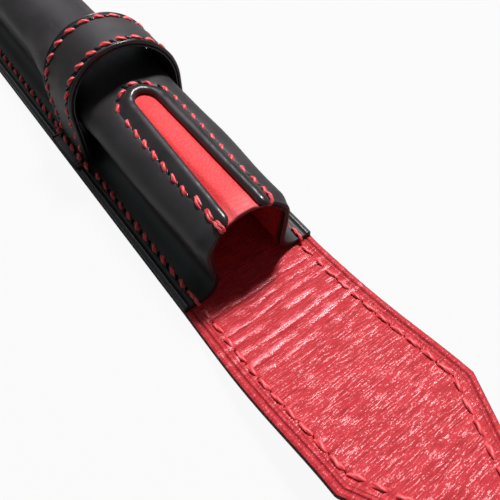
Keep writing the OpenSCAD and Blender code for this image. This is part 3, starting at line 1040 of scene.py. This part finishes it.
def wrinkles(x, u):
    """Height of the wrinkles, and how much each place is a polished crest.

    The strong folds are a hump and a narrow valley at an even pitch along u, swayed by
    noise. The fine ones are folded noise, drawn out across the flap. Streaks and speckles
    of the same kind break up the polish of the crests. The second value lowers the
    roughness, and also paints crests paler and valleys darker, as painted highlight and shade.
    """
    sway = 0.55*soft_noise(x/11, u/8, 31) + 0.02*x
    lines = u + sway
    phase = (lines/FOLD_PITCH) % 1
    reach = np.clip(0.7 + 0.9*soft_noise(x/7 + 3, np.floor(lines/FOLD_PITCH)*1.7, 37), 0, 1.1)
    strong = rise(u, 3, 6)*(1 - rise(u, 19, 29))
    wave = lines + 0.3*soft_noise(x/3.5, u/3, 71)
    streak = ridged(x/3.2, wave/0.42, 83, 1.8)
    speckle = ridged(x/1.6, wave/0.24, 97, 1.6)
    crest = strong*reach*bumps(phase, 0.33, 0.36)
    valley = strong*reach*bumps(phase, 0.64, 0.09)
    fine = ridged(x/7, wave/0.62, 41, 1.9)**2
    finer = ridged(x/3.5, wave/0.32, 47, 1.9)**2
    far = ridged(x/8, wave/0.9, 59, 2.6)**3*rise(u, 20, 28)
    soft = 0.07*soft_noise(x/9, u/5, 43)
    crumb = 0.05*soft_noise(x/0.9, u/0.5, 61)*bumps(u, 2.2, 2.6)
    corner = -0.12*bumps(x - 0.05*u, 10, 0.4)*(1 - rise(u, 18, 26))
    patch = 0.7 + 0.5*np.clip(soft_noise(x/6, u/5, 67) + 0.4, 0, 1)
    calm = np.clip(u/2, 0.1, 1)
    small = 0.05*(fine - 0.3) + 0.026*(finer - 0.3) + 0.085*(far - 0.15)
    folds = (0.22*crest - 0.17*valley)*(0.75 + 0.4*streak)
    height = folds + small*patch*calm + soft*calm + crumb + corner
    polish_and_painted_light = 1.25*crest*(0.15 + 0.7*streak + 0.6*speckle) + 0.5*far*patch + 0.35*fine - 0.6*valley - 0.2
    return height, polish_and_painted_light*calm


sample = wrinkles(np.linspace(-15, 15, 50)[:, None], np.linspace(3, 25, 80)[None, :])
print("wrinkle range:", [round(float(np.ptp(k)), 3) for k in sample])

# %% [markdown]
# ## Laying a strip along the flap
# Both layers of the strip are grids of rows across it. Even columns would run out where
# the flap tapers. So the columns near the edges keep their distance from the edge, and
# the others share the rest of the breadth. The strip is made in two lengths, because a
# skin bends over one joint at a time, and they meet half way between the two bends.

# %% Laying a strip along the flap
first_zone = ((0, -(HINGE_U - BEND_HALF)*MM, WALL*MM), (0, -(HINGE_U + BEND_HALF)*MM, WALL*MM))
second_y, second_z = flap_path(np.array([SECOND_U - SECOND_HALF, SECOND_U + SECOND_HALF]))[:2]
second_zone = tuple((0, float(y)*MM, float(z)*MM) for y, z in zip(second_y, second_z))
NEAR_BODIES, FAR_BODIES = ("sleeve", "flap_bridge"), ("flap_bridge", "flap_tongue")


def inward(d, w, margin):
    """Half breadth left at a column: the margin keeps its width, and the rest is shared evenly."""
    shared = margin + (d - margin)*(w - margin)/(HALF_W - margin)
    return np.clip(w - np.where(d < margin, d, shared), 0, None)


def one_more(u):
    """The same rows with one more at each end, so that the slope at the ends is known."""
    return np.concatenate([[2*u[0] - u[1]], u, [2*u[-1] - u[-2]]])


def in_the_open(u):
    """0 inside the sleeve and 1 outside it, as a column."""
    return np.clip((u[:, None] + 0.2)/0.6, 0, 1)


def laid(x, h, u):
    """Points at the height h over the lining's plane, and the direction square to the grid.

    The direction is the cross product of the steps along both ways. Where a row closes up
    to one point it isn't known, and straight down from the plane is taken.
    """
    y, z, tilt = flap_path(u)
    points = np.stack([x, y[:, None] + np.sin(tilt)[:, None]*h, z[:, None] + np.cos(tilt)[:, None]*h], -1)
    n = np.cross(np.gradient(points, axis=1), np.gradient(points, axis=0))
    size = np.linalg.norm(n, axis=-1, keepdims=True)
    down = -np.stack([0*tilt, np.sin(tilt), np.cos(tilt)], -1)[:, None, :]
    normals = np.where(size > 1e-7, n/np.maximum(size, 1e-12), down)
    return points[1:-1], normals[1:-1]


print("second bend from y", np.round(second_y, 1).tolist())

# %% [markdown]
# ## Lining of the back and the flap
# This is the red side of the strip. Its edge could be bevelled by a modifier, but it also
# has a relief that follows it all the way round the tongue: it is rounded over and
# painted dark, with a bead inside it, a pressed crease, a second finer one, and the
# channel of the stitches. So the height is a formula of the distance from the edge. The
# wrinkles fade out towards the edge and inside the sleeve. The pressed creases are also
# coloured darker, as painted shade.

# %% Lining of the back and the flap
LINING_MARGIN = 3.3


def flap_relief(d):
    """Height near the edge, at the distance d from it: a rounded edge, a bead and creases."""
    edge = -0.42*(1 - np.sqrt(np.clip(1 - (1 - np.clip(d/0.5, 0, 1))**2, 0, 1)))
    bead = 0.16*bumps(d, 0.95, 0.62)
    crease = -0.26*bumps(d, CREASE_D, 0.38)
    second = 0.07*bumps(d, 2.2, 0.4) - 0.10*bumps(d, 2.75, 0.25)
    row = -0.14*bumps(d, 4.0, 0.9)
    return edge + bead + crease + second + row


def strip_columns():
    """Places across the strip from -1 to 1, closer together near both edges."""
    near = np.concatenate([[0, 0.03, 0.08, 0.15, 0.25, 0.38, 0.5], steps((0.62, 3.1, 0.13)),
                           steps((3.4, HALF_W, 0.36))])
    left = near[near < HALF_W - 0.1]/HALF_W - 1
    return np.concatenate([left, [0.0], -left[::-1]])


def lining_strip(name, u, bodies, zone, nodes):
    """One length of the lining: the edge's relief plus the wrinkles."""
    grow = one_more(u)
    at_u = grow[:, None]
    t = strip_columns()[None, :]
    d = (1 - np.abs(t))*HALF_W
    x = np.sign(t)*inward(d, half_width(grow)[:, None], LINING_MARGIN) + drift(grow)[:, None]
    folds, ridge = wrinkles(x, at_u)
    fade = np.clip((d - 2.2)/1.2, 0.45, 1)*np.clip((at_u + 2)/3, 0, 1)
    outside = in_the_open(grow)
    relief = flap_relief(d)*outside + folds*fade - 0.02*(1 - outside)
    points, normals = laid(x, relief, grow)
    painted = 1 - rise(d, 0.12, 0.34)
    # painted shade: the pressed crease grooves are darkened
    groove = 0.5*bumps(d, CREASE_D, 0.3) + 0.3*bumps(d, 2.75, 0.2)
    # ridge carries the polish, and the painted highlight on crests and painted shade in valleys
    ridge = np.clip((ridge*fade)[1:-1], -1, 1)
    dark = (np.maximum(painted, groove)*np.clip(at_u/0.5, 0, 1))[1:-1]
    ob = make_mesh(name, points, grid_faces(*points.shape[:2]), red,
                   {"matte": 0*ridge, "ridge": ridge, "dark": dark, "pale": 0*ridge}, normals=-normals)
    tie(ob, nodes, bodies, zone)
    return ob


round_u = -STRAIGHT_L - HALF_W*np.sin(np.linspace(0, np.pi/2, 30))[:0:-1]
near_u = np.concatenate([round_u, steps((-STRAIGHT_L, -3, 3.0), (-3, CUT_U, 0.16))])
far_u = np.concatenate([steps((CUT_U, 70, 0.17)), steps((70.4, TIP_U - 1, 0.4)),
                        TIP_U + TONGUE_R*np.sin(np.linspace(0, np.pi/2, 30))[1:]])
near_red = lining_strip("lining_at_the_mouth", near_u, NEAR_BODIES, first_zone,
                        ["back_lining", "bridge_lining"])
far_red = lining_strip("lining_of_the_flap", far_u, FAR_BODIES, second_zone,
                       ["bridge_lining", "tongue_lining"])
print("lining faces:", len(near_red.data.polygons), len(far_red.data.polygons))

# %% [markdown]
# ## Outer leather of the back and the flap
# This is the black side of the strip. The strip could be a solid of its own, but between
# the two leathers nobody sees anything. So this skin starts at the lining's rounded edge,
# goes round the leather's own edge and across below. Inside the sleeve it reaches up to
# the front leather's edge instead, so the seam has no gap.

# %% Outer leather of the back and the flap
OUTER_MARGIN = 1.2
EDGE_DROP = np.array([0.42, 0.5, 0.9, 1.3, 1.45, 1.56, WALL])
EDGE_PULL = np.array([0.03, 0.0, 0.0, 0.0, 0.06, 0.2, 0.5])


def outer_strip(name, u, bodies, zone, nodes):
    """One length of the black side, from edge to edge."""
    inner = steps((OUTER_MARGIN, HALF_W - 0.9, 1.2))
    half_d = np.concatenate([EDGE_PULL, inner])
    half_h = -np.concatenate([EDGE_DROP, WALL + 0*inner])
    hand = np.concatenate([-1 + 0*half_d, [0.0], 1 + 0*half_d])[None, :]
    h = np.concatenate([half_h, [-WALL], half_h[::-1]])[None, :]
    d = np.concatenate([half_d, [HALF_W], half_d[::-1]])[None, :]
    grow = one_more(u)
    h = h + EDGE_DROP[0]*(h > -0.6)*(1 - in_the_open(grow))
    x = hand*inward(d, half_width(grow)[:, None], OUTER_MARGIN) + drift(grow)[:, None]
    points, normals = laid(x, h, grow)
    gloss = (d < 0.6)*0.8 + 0*points[..., 0]
    stain = (rise(h, -1.58, -1.42)*rise(grow, 0, 1)[:, None])[1:-1]
    ob = make_mesh(name, points, grid_faces(*points.shape[:2])[:, ::-1], black,
                   {"gloss": gloss, "shade_and_edge_paint": 0*gloss, "stain": stain}, normals=normals)
    tie(ob, nodes, bodies, zone)
    return ob


round_out = -STRAIGHT_L - HALF_W*np.sin(np.linspace(0, np.pi/2, 40))[::-1]
near_out = np.concatenate([round_out, steps((-STRAIGHT_L + 1, -1, 1.5)), steps((-0.5, CUT_U, 0.5))])
far_out = np.concatenate([steps((CUT_U, TIP_U - 1, 0.6)),
                          TIP_U + TONGUE_R*np.sin(np.linspace(0, np.pi/2, 24))[1:]])
near_black = outer_strip("back_leather_strip", near_out, NEAR_BODIES, first_zone,
                         ["back_leather", "bridge_leather"])
far_black = outer_strip("flap_leather_strip", far_out, FAR_BODIES, second_zone,
                        ["bridge_leather", "tongue_leather"])
print("outer faces:", len(near_black.data.polygons), len(far_black.data.polygons))

# %% [markdown]
# ## The keeper
# The keeper is a strip of the same leather, lined with black, that arches clear of the
# barrel. A bent box would do for its shape, but its outer face has a pressed crease
# beside each row of stitches and a bead along each rim. So a closed section that has them
# is carried along the keeper's path from foot to foot.

# %% The keeper
KEEPER_Y, KEEPER_W = 54.0, 15.0
KEEPER_R, ARCH_Z = 15.8, 18.9
FOOT_R = 0.3
KEEPER_ROW = 1.8
KEEPER_CREASE = KEEPER_ROW - 0.85
REAR_RIM = 0.55
ARCH_L, LEG_L, FOLD_L = KEEPER_R*np.pi/2, ARCH_Z - SEAM_Z - LEATHER - FOOT_R, FOOT_R*np.pi/2


def keeper_path(s):
    """x, z and outward direction on the strip's outer face, s from the top of the arch.

    A quarter circle, a straight leg, a small fold and the flat foot.
    """
    s = np.asarray(s, float)
    side, q = np.sign(s), np.abs(s)
    a = np.pi/2 - q/KEEPER_R
    b = (q - ARCH_L - LEG_L)/FOOT_R
    cases = [q < ARCH_L, q < ARCH_L + LEG_L, q < ARCH_L + LEG_L + FOLD_L]
    x = np.select(cases, [KEEPER_R*np.cos(a), KEEPER_R + 0*q, KEEPER_R + FOOT_R - FOOT_R*np.cos(b)],
                  KEEPER_R + FOOT_R + q - ARCH_L - LEG_L - FOLD_L)
    z = np.select(cases, [ARCH_Z + KEEPER_R*np.sin(a), ARCH_Z - (q - ARCH_L),
                          SEAM_Z + LEATHER + FOOT_R - FOOT_R*np.sin(b)], SEAM_Z + LEATHER)
    nx = np.select(cases, [np.cos(a), 1 + 0*q, np.cos(b)], 0*q)
    nz = np.select(cases, [np.sin(a), 0*q, np.sin(b)], 1 + 0*q)
    return side*x, z, side*nx, nz


def keeper_section(outer, inner):
    """A closed section between two depths: v across the strip and h out from its face."""
    w = KEEPER_W/2
    r = min(0.45, 0.45*(inner - outer))
    a = np.linspace(0, np.pi/2, 5)
    v_half = np.concatenate([steps((0, w - 3.0, 0.5)), w - 3.0 + steps((0.1, 3.0 - r, 0.13))[:-1]])
    v_in = steps((w - 1.2, 0.7, 1.3))
    v = np.concatenate([v_half, w - r + r*np.sin(a), w - r + r*np.cos(a), v_in])
    h = np.concatenate([-outer + 0*v_half, -outer - r + r*np.cos(a), -inner + r - r*np.sin(a),
                        -inner + 0*v_in])
    return np.concatenate([v, -v[:0:-1]])[None, :], np.concatenate([h, h[:0:-1]])[None, :], r


def keeper_strip(name, outer, inner, node, low_end):
    """The section between two depths, carried along the keeper's path."""
    foot = np.array([0.3, 0.8, 1.4, 2.0, HALF_W - KEEPER_R - FOOT_R])
    s = np.concatenate([steps((0, ARCH_L, 0.55)), ARCH_L + steps((0.6, LEG_L, 0.8)),
                        ARCH_L + LEG_L + np.linspace(0.05, FOLD_L, 5), ARCH_L + LEG_L + FOLD_L + foot])
    s = s[s <= low_end]
    s = np.concatenate([-s[:0:-1], s])[:, None]
    v, h, r = keeper_section(outer, inner)
    w = KEEPER_W/2
    d = w - np.abs(v)
    v = v + REAR_RIM*rise(v, w - 1.9, w - 0.9)
    shows = outer < 0.01
    relief = -0.22*bumps(d, KEEPER_CREASE, 0.30) + 0.16*bumps(d, 0.45, 0.55) - 0.14*bumps(d, KEEPER_ROW, 0.8)
    relief = np.where(h > -outer - r, relief, 0)*shows
    x, z, nx, nz = keeper_path(s)
    lift = h + relief + 0.07*soft_noise(s/9, v/6 + 5, 53)*rise(d, 1.5, 5)
    points = np.stack([x + nx*lift, KEEPER_Y + w + v + 0*s, z + nz*lift], -1)
    gloss = np.clip(bumps(d, 0.2, 0.8)*1.3, 0, 1) + 0*s
    top = (h > -outer - 1e-6)*shows
    # painted shade: the pressed creases on the outer face are darkened
    shade_and_edge_paint = 0.8*np.clip(bumps(d, KEEPER_CREASE, 0.28), 0, 1)*top + 0*s
    faces = grid_faces(*points.shape[:2], closed_columns=True)
    ob = make_mesh(name, points, faces, black, {"gloss": gloss, "shade_and_edge_paint": shade_and_edge_paint})
    face_outward(ob)
    tie(ob, [node])
    return ob


keeper = keeper_strip("keeper_strip", 0.0, LEATHER, "keeper_band", np.inf)
keeper_in = keeper_strip("keeper_inner_strip", LEATHER + 0.001, WALL, "keeper_lining", ARCH_L + LEG_L + 0.9)
print("keeper faces:", len(keeper.data.polygons), len(keeper_in.data.polygons))

# %% [markdown]
# ## Stitches
# Saddle stitches lie on the leather like small slanted grains. Each is a short tube, fat
# in the middle, whose ends go down into a slit. They could be copies of one object, but
# then each would be a piece of its own to tie to its body. So all stitches of a row are
# made together: one small tube, placed at every station by its own three directions.
# Beside each slit the leather is pushed up into a small glossy pucker.

# %% A row of stitches
SLIT_TURN, SLIT_LIFT = 38.0, 0.05
PUCKER_HALF_L, PUCKER_AWAY, PUCKER_HALF_W, PUCKER_H, PUCKER_SUNK = 0.85, 0.46, 0.24, 0.17, 0.05
MIDDLE_UP, ENDS_DOWN = 0.34, 0.85


def row_frame(along, up, turn):
    """The three directions of each stitch: its length, its side and the way up."""
    along, up = (np.asarray(v, float) for v in (along, up))
    along = along/np.linalg.norm(along, axis=1, keepdims=True)
    up = up/np.linalg.norm(up, axis=1, keepdims=True)
    across = np.cross(along, up)
    a = np.radians(turn)
    return np.cos(a)*along + np.sin(a)*across, np.cos(a)*across - np.sin(a)*along, up


def repeat_shape(at, axes, *sizes):
    """Copies one small grid, given by its length, side and height, to every place."""
    axes = [v[:, None, None, :] for v in axes]
    return at[:, None, None, :] + sum(k[..., None]*v for k, v in zip(sizes, axes))


def repeat_faces(one, points):
    """The faces of the small grid, once for every place."""
    n = points.shape[1]*points.shape[2]
    return (one[None] + n*np.arange(len(points))[:, None, None]).reshape(-1, one.shape[1])


def stitch_row(name, at, along, up, nodes, bodies=("sleeve",), zone=None, turn=9.0, length=3.5,
               width=0.55, height=0.42):
    """Stitches at points, each along a direction on a surface that faces up.

    The section has two lobes that turn along the stitch, like two plies, and both ends
    are thin and go down into the leather.
    """
    q = np.linspace(-1, 1, 9)[None, :, None]
    b = np.linspace(0, 2*np.pi, 11)[:-1][None, None, :]
    rng = np.random.default_rng(len(at))
    jitter = rng.normal(0, 1, (len(at), 3))[:, :, None, None]
    fat = (1 - np.abs(q)**2.2)**0.55*0.88 + 0.12
    ply = 1 + 0.13*np.cos(2*b - 3.4*q - 2*jitter[:, 0])
    l = length/2*q*(1 + 0.03*jitter[:, 1]) + 0*b
    w = width*fat*ply*np.cos(b)*(1 + 0.05*jitter[:, 2]) + 0.16*np.sin(np.pi*q)*width/0.55
    h = height*fat*ply*np.sin(b) + MIDDLE_UP - ENDS_DOWN*np.abs(q)**3
    points = repeat_shape(at, row_frame(along, up, turn), l, w, h)
    faces = repeat_faces(grid_faces(9, 10, closed_columns=True), points)
    uv = np.stack(np.broadcast_arrays(np.arange(len(at))[:, None, None]*0.37 + q*0.5, b/(2*np.pi)), -1)
    tie(make_mesh(name, points, faces, thread, uv=uv), nodes, bodies, zone)


def slits(name, at, along, up, bodies=("sleeve",), zone=None, slot="outer_leather", length=1.9,
          width=0.6, skin=black, inside=hole_shade):
    """Where the thread goes in: a dark slit, and a small glossy pucker along its far side.

    The slit is an ellipse of painted shade drawn out to two points, and the pucker the upper
    half of a short tube that closes towards its ends like a ball.
    """
    axes = row_frame(along, up, SLIT_TURN)
    at = at + SLIT_LIFT*axes[2]
    b = np.linspace(0, 2*np.pi, 13)[:-1][None, None, :]
    w = width/2*np.sin(b)*np.abs(np.sin(b))**0.4
    points = repeat_shape(at, axes, length/2*np.cos(b), w, 0*b)
    flat = make_mesh(name, points, repeat_faces(np.arange(12)[None], points), inside)
    q = np.linspace(-1, 1, 6)[None, :, None]
    c = np.linspace(0, np.pi, 5)[None, None, :]
    fat = np.sqrt(1 - (0.97*q)**2)
    points = repeat_shape(at, axes, PUCKER_HALF_L*q + 0*c, PUCKER_AWAY + PUCKER_HALF_W*fat*np.cos(c),
                          PUCKER_H*fat*np.sin(c) - PUCKER_SUNK)
    marks = {"gloss": np.full(points.shape[:3], 1.0), "shade_and_edge_paint": np.zeros(points.shape[:3])}
    puff = make_mesh(name + "_puckers", points, repeat_faces(grid_faces(6, 5)[:, ::-1], points), skin, marks)
    for ob in (flat, puff):
        tie(ob, (), bodies, zone)


print("a stitch has", len(grid_faces(9, 10, closed_columns=True)), "faces")

# %% [markdown]
# ## Side seams
# The seam runs up both sides and round the closed end, 3.4 mm inside the edge. Its
# stations could be set by hand, but a marking wheel pricks them at an even pitch, and so
# does the formula. Over the keeper's feet the row goes a little further out and lies on
# top of them.

# %% Side seams
SEAM_X = HALF_W - 3.4
FOOT_X = KEEPER_R + 0.72
FIRST_Y = 3.6


def seam_row():
    """Both straight rows and the half round row about the closed end."""
    y = STRAIGHT_L - (np.arange(int((STRAIGHT_L - PITCH/2)//PITCH) + 1) + 0.5)*PITCH
    y = y[y > FIRST_Y]
    on_foot = (y > KEEPER_Y - 1.5) & (y < KEEPER_Y + KEEPER_W + 1.5)
    x = np.where(on_foot, FOOT_X, SEAM_X)
    z = np.where(on_foot, SEAM_Z + LEATHER, SEAM_Z - ROW_DIP)
    end_count = int(round(np.pi*SEAM_X/PITCH))
    a = (np.arange(end_count) + 0.5)*np.pi/end_count
    sides = [np.stack([k*x, y, z], 1) for k in (-1, 1)]
    ways = [np.tile([0.0, k*1.0, 0.0], (len(y), 1)) for k in (-1, 1)]
    bow = np.stack([SEAM_X*np.cos(a), STRAIGHT_L + SEAM_X*np.sin(a), 0*a + SEAM_Z - ROW_DIP], 1)
    at = np.concatenate(sides + [bow])
    along = np.concatenate(ways + [np.stack([-np.sin(a), np.cos(a), 0*a], 1)])
    up = np.tile([0.0, 0.0, 1.0], (len(at), 1))
    stitch_row("seam_stitches", at, along, up, ["seam_thread"])
    slits("seam_slits", at + along*PITCH/2, along, up)
    return len(at)


print("seam stitches:", seam_row())

# %% [markdown]
# ## Window stitches
# The row goes up both sides of the window and round its end. Laid on a flat plan they
# would sink into the crown, so each station is carried to the leather by the same
# functions as the border. At the left of the mouth the seam was locked with two doubled
# stitches, which lie a little nearer to the window.

# %% Window stitches
DOUBLED_Y = np.array([9.9, 4.9])
DOUBLED_L, DOUBLED_APART = 4.6, 0.26
LEFT_FROM, LEFT_BACK = 14, 1.7


def on_crown(plan_x, plan_y):
    """A point of the even slot's plan on the outer face, the way up there and the way across."""
    x = askew(plan_x, plan_y) + (plan_x < 0)*doubled_in(plan_y) - right_row_in(plan_x, plan_y)
    side = np.sign(x)
    bx, bz, nx, nz = section(s_at(np.abs(x)), plan_y)
    at = np.stack([side*bx, plan_y + set_back(x, plan_y), bz], 1)
    return at, np.stack([side*nx, 0*nx, nz], 1), np.stack([nz, 0*nz, -side*nx], 1)


def window_stitches():
    """Rows up both sides of the window and round its end, laid on the crown.

    The left row stops where the doubled stitches begin, and lies a little nearer to the
    mouth than the right one.
    """
    n_side = int(WINDOW_END//PITCH)
    n_bow = int(round(np.pi*ROW_R/PITCH))
    y = WINDOW_END - (np.arange(n_side) + 0.5)*PITCH
    a = (np.arange(n_bow) + 0.5)*np.pi/n_bow
    left_y = y[y > LEFT_FROM] - LEFT_BACK
    plan_x = np.concatenate([-ROW_R + 0*left_y, ROW_R + 0*y, ROW_R*np.cos(a)])
    plan_y = np.concatenate([left_y, y, WINDOW_END + ROW_R*np.sin(a)])
    way = np.concatenate([np.tile([0.0, -1.0], (len(left_y), 1)), np.tile([0.0, 1.0], (n_side, 1)),
                          np.stack([-np.sin(a), np.cos(a)], 1)])
    at, up, tangent = on_crown(plan_x, plan_y)
    at = at - ROW_DIP*up
    along = way[:, :1]*tangent + way[:, 1:]*np.array([0, 1.0, 0])
    stitch_row("window_stitches", at, along, up, ["window_thread"])
    slits("window_slits", at + along*PITCH/2, along, up)
    at, up, tangent = on_crown(-ROW_R + 0*DOUBLED_Y, DOUBLED_Y)
    along = np.tile([0.0, -1.0, 0.0], (2, 1))
    for k in (-1, 1):
        beside = at + k*DOUBLED_APART*tangent - 0.02*up
        stitch_row(f"window_stitches_doubled_{(k + 3)//2}", beside, along, up, ["window_thread"],
                   turn=7 - 3*k, width=0.46, height=0.5, length=DOUBLED_L)
    slits("window_slits_doubled", at + along*DOUBLED_L/2, along, up, length=1.2, width=0.4)
    return len(plan_x) + 2*len(DOUBLED_Y)


print("window stitches:", window_stitches())

# %% [markdown]
# ## Keeper stitches
# One row runs along each rim of the keeper, over the arch and down both legs. The
# stations are distances along the keeper's path, so the pitch stays even round the arch.
# On the right flank the thread is drawn deeper into the leather.

# %% Keeper stitches
def keeper_stitches(name, y, node):
    """One row over the arch and down both legs."""
    legs = int(LEG_L//PITCH)
    arch = int(round(np.pi*KEEPER_R/PITCH))
    s = (np.arange(arch) + 0.5)*2*ARCH_L/arch - ARCH_L
    leg_s = ARCH_L + (np.arange(legs) + 0.5)*PITCH
    s = np.concatenate([s, leg_s, -leg_s])
    x, z, nx, nz = keeper_path(s)
    sunk = 0.1 + 0.24*rise(s, 7, 13)
    at = np.stack([x - sunk*nx, y + 0*x, z - sunk*nz], 1)
    up = np.stack([nx, 0*nx, nz], 1)
    along = np.stack([-nz, 0*nx, nx], 1)
    stitch_row(name, at, along, up, [node])
    slits(name + "_slits", at + along*PITCH/2, along, up)
    return len(s)


print("keeper stitches:",
      keeper_stitches("keeper_stitches_front", KEEPER_Y + KEEPER_ROW, "keeper_thread_front"),
      keeper_stitches("keeper_stitches_rear", KEEPER_Y + KEEPER_W - KEEPER_ROW, "keeper_thread_rear"))

# %% [markdown]
# ## Flap stitches
# The row lies 4 mm inside the flap's edge, red on red, and pulls the lining down in its
# channel. It could follow the outline point by point, but sewn rows are straights with
# crisp corners, so straights and one bow make it. Saddle stitches show on both faces, so
# the black side has them too, except beside the mouth, where the strip lies on the table.

# %% Flap stitches
FLAP_ROW = 4.0
CLEAR_U = 8
OUTSIDE_SUNK = 0.35


def flap_points(x, u):
    """Points on the lining's face, the way along the flap and the way up from it."""
    y, z, tilt = flap_path(u)
    at = np.stack([x + drift(u), y - np.sin(tilt)*ROW_DIP, z - np.cos(tilt)*ROW_DIP], 1)
    up = np.stack([0*u, np.sin(tilt), np.cos(tilt)], 1)
    down = np.stack([0*u, -np.cos(tilt), np.sin(tilt)], 1)
    return at, up, down


def run(a, b):
    """Stitch places and directions on a straight from a to b, both (x, u)."""
    a, b = np.array(a, float), np.array(b, float)
    d = b - a
    n = max(1, int(round(np.linalg.norm(d)/PITCH)))
    k = (np.arange(n) + 0.5)/n
    return a + d*k[:, None], np.tile(d/np.linalg.norm(d), (n, 1))


def both_sides(plan, way):
    """A row on the right and its mirror image on the left, which runs back."""
    flip = np.array([-1.0, 1.0])
    return np.concatenate([plan, plan*flip]), np.concatenate([way, -way*flip])


def flap_stitches():
    """The whole row, in one part on each length of the strip, on both faces."""
    row_x = HALF_W - FLAP_ROW
    turn = FLAP_ROW*np.tan(TAPER/2)
    cut, corner = (row_x, CUT_U - 0.2), (row_x, CORNER_U - turn)
    low_x = TONGUE_R - FLAP_ROW
    low = (low_x, CORNER_U + (FLAP_W - TONGUE_R)/np.tan(TAPER) - turn)
    near = both_sides(*run((row_x, 0.9), cut))
    straights = [run(cut, corner), run(corner, low), run(low, (low_x, TIP_U))]
    far = both_sides(*(np.concatenate(k) for k in zip(*straights)))
    tip_n = int(round(np.pi*low_x/PITCH))
    a = (np.arange(tip_n) + 0.5)*np.pi/tip_n
    tip = (np.stack([low_x*np.cos(a), TIP_U + low_x*np.sin(a)], 1), np.stack([-np.sin(a), np.cos(a)], 1))
    far = [np.concatenate(k) for k in zip(far, tip)]
    for name, (plan, way), tied, nodes in (
            ("flap_stitches_near", near, (NEAR_BODIES, first_zone), ["bridge_thread"]),
            ("flap_stitches_far", far, (FAR_BODIES, second_zone), ["bridge_thread", "tongue_thread"])):
        at, up, down = flap_points(*plan.T)
        along = way[:, :1]*np.array([1.0, 0, 0]) + way[:, 1:]*down
        stitch_row(name, at, along, up, nodes, *tied, turn=-12, length=4.5, width=0.52)
        slits(name + "_slits", at + along*PITCH/2, along, up, *tied, slot="lining_leather", width=0.36,
              length=1.3, skin=red, inside=red_hole_shade)
        clear = plan[:, 1] > CLEAR_U
        under, below, ahead = (at - up*(WALL - ROW_DIP))[clear], -up[clear], along[clear]
        stitch_row(name + "_outside", under - below*OUTSIDE_SUNK, ahead, below, nodes, *tied, turn=12,
                   length=3.7)
        slits(name + "_outside_slits", under + ahead*PITCH/2, ahead, below, *tied, width=0.4, length=1.5)
    return len(near[0]) + len(far[0])


print("flap stitches:", flap_stitches())

# %% [markdown]
# ## Threads that turn over an edge
# The last window stitches go over the mouth's rim, and so does the seam thread at each
# side. The left one over the window's finger is doubled, like the two stitches behind it.
# A row's short tubes are straight, and these bend round an edge, so each is a twisted
# tube along a smooth line through a few points.

# %% Threads that turn over an edge
def thread_tube(name, corners, node, radius):
    """A twisted thread along a smooth line through the corners, tapered at both ends.

    Its radius falls as the root of 1 minus the fourth power of the distance from the
    middle, and has two lobes that turn along the line.
    """
    c = np.asarray(corners, float)
    c = np.concatenate([2*c[:1] - c[1:2], c, 2*c[-1:] - c[-2:-1]])
    count = (len(c) - 3)*6 + 1
    t = np.linspace(0, len(c) - 3 - 1e-6, count)
    i, f = t.astype(int), (t % 1)[:, None]
    line = spline(*(c[i + k] for k in range(4)), f)
    way = np.gradient(line, axis=0)
    way = way/np.linalg.norm(way, axis=1, keepdims=True)
    side = np.cross(way, np.array([1.0, 0.0, 0.0]))
    side = side/np.linalg.norm(side, axis=1, keepdims=True)
    over = np.cross(side, way)
    b = np.linspace(0, 2*np.pi, 11)[:-1][None, :]
    q = np.linspace(-1, 1, count)[:, None]
    length = np.linalg.norm(np.diff(line, axis=0), axis=1).sum()
    r = radius*((1 - np.abs(q)**4)**0.5*0.85 + 0.15)*(1 + 0.15*np.cos(2*b - 2.1*length*q))
    points = (line[:, None, :] + (r*np.cos(b))[..., None]*side[:, None, :]
              + (r*np.sin(b))[..., None]*over[:, None, :])
    uv = np.stack(np.broadcast_arrays(q*length/6, b/(2*np.pi)), -1)
    ob = make_mesh(name, points, grid_faces(count, 10, closed_columns=True)[:, ::-1], thread, uv=uv)
    tie(ob, [node])
    return ob


def edge_threads():
    """Three loops over the window's fingers, and one over the mouth's edge on each side."""
    made = []
    loops = [("left_a", -7.4, (2.9, 1.5, 0.3), (0.15, -0.45, -0.5), (0.35, -0.5, -1.3)),
             ("left_b", -6.8, (2.6, 1.2, 0.2), (0.15, -0.5, -0.5), (0.35, -0.55, -1.4)),
             ("right", 6.75, (3.5, 1.7, 0.3), (-0.5, -0.5, -0.35), (-1.5, -0.4, -0.75))]
    for name, plan_x, y, first, second in loops:
        plan = plan_x + np.array([0.0, 0.35, 0.1])*(plan_x > 0)
        at, up = on_crown(plan, np.array(y))[:2]
        over = at + up*np.array([[0.05], [0.44], [0.3]])
        low = [over[-1] + np.array(first), over[-1] + np.array(second)]
        made.append(thread_tube("rim_thread_" + name, np.concatenate([over, low]), "window_thread", 0.44))
    for k in (-1, 1):
        x = k*(SEAM_X - 0.1)
        path = [(x + 0.15*k, 4.0, 2.9), (x + 0.1*k, 3.0, 3.5), (x, 1.4, 3.55), (x, 0.3, 3.4),
                (x - 0.1*k, -0.42, 2.7), (x - 0.2*k, -0.55, 1.8)]
        made.append(thread_tube(f"mouth_thread_{(k + 3)//2}", path, "seam_thread", 0.46))
    return made


print("threads over the mouth's edge:", len(edge_threads()))
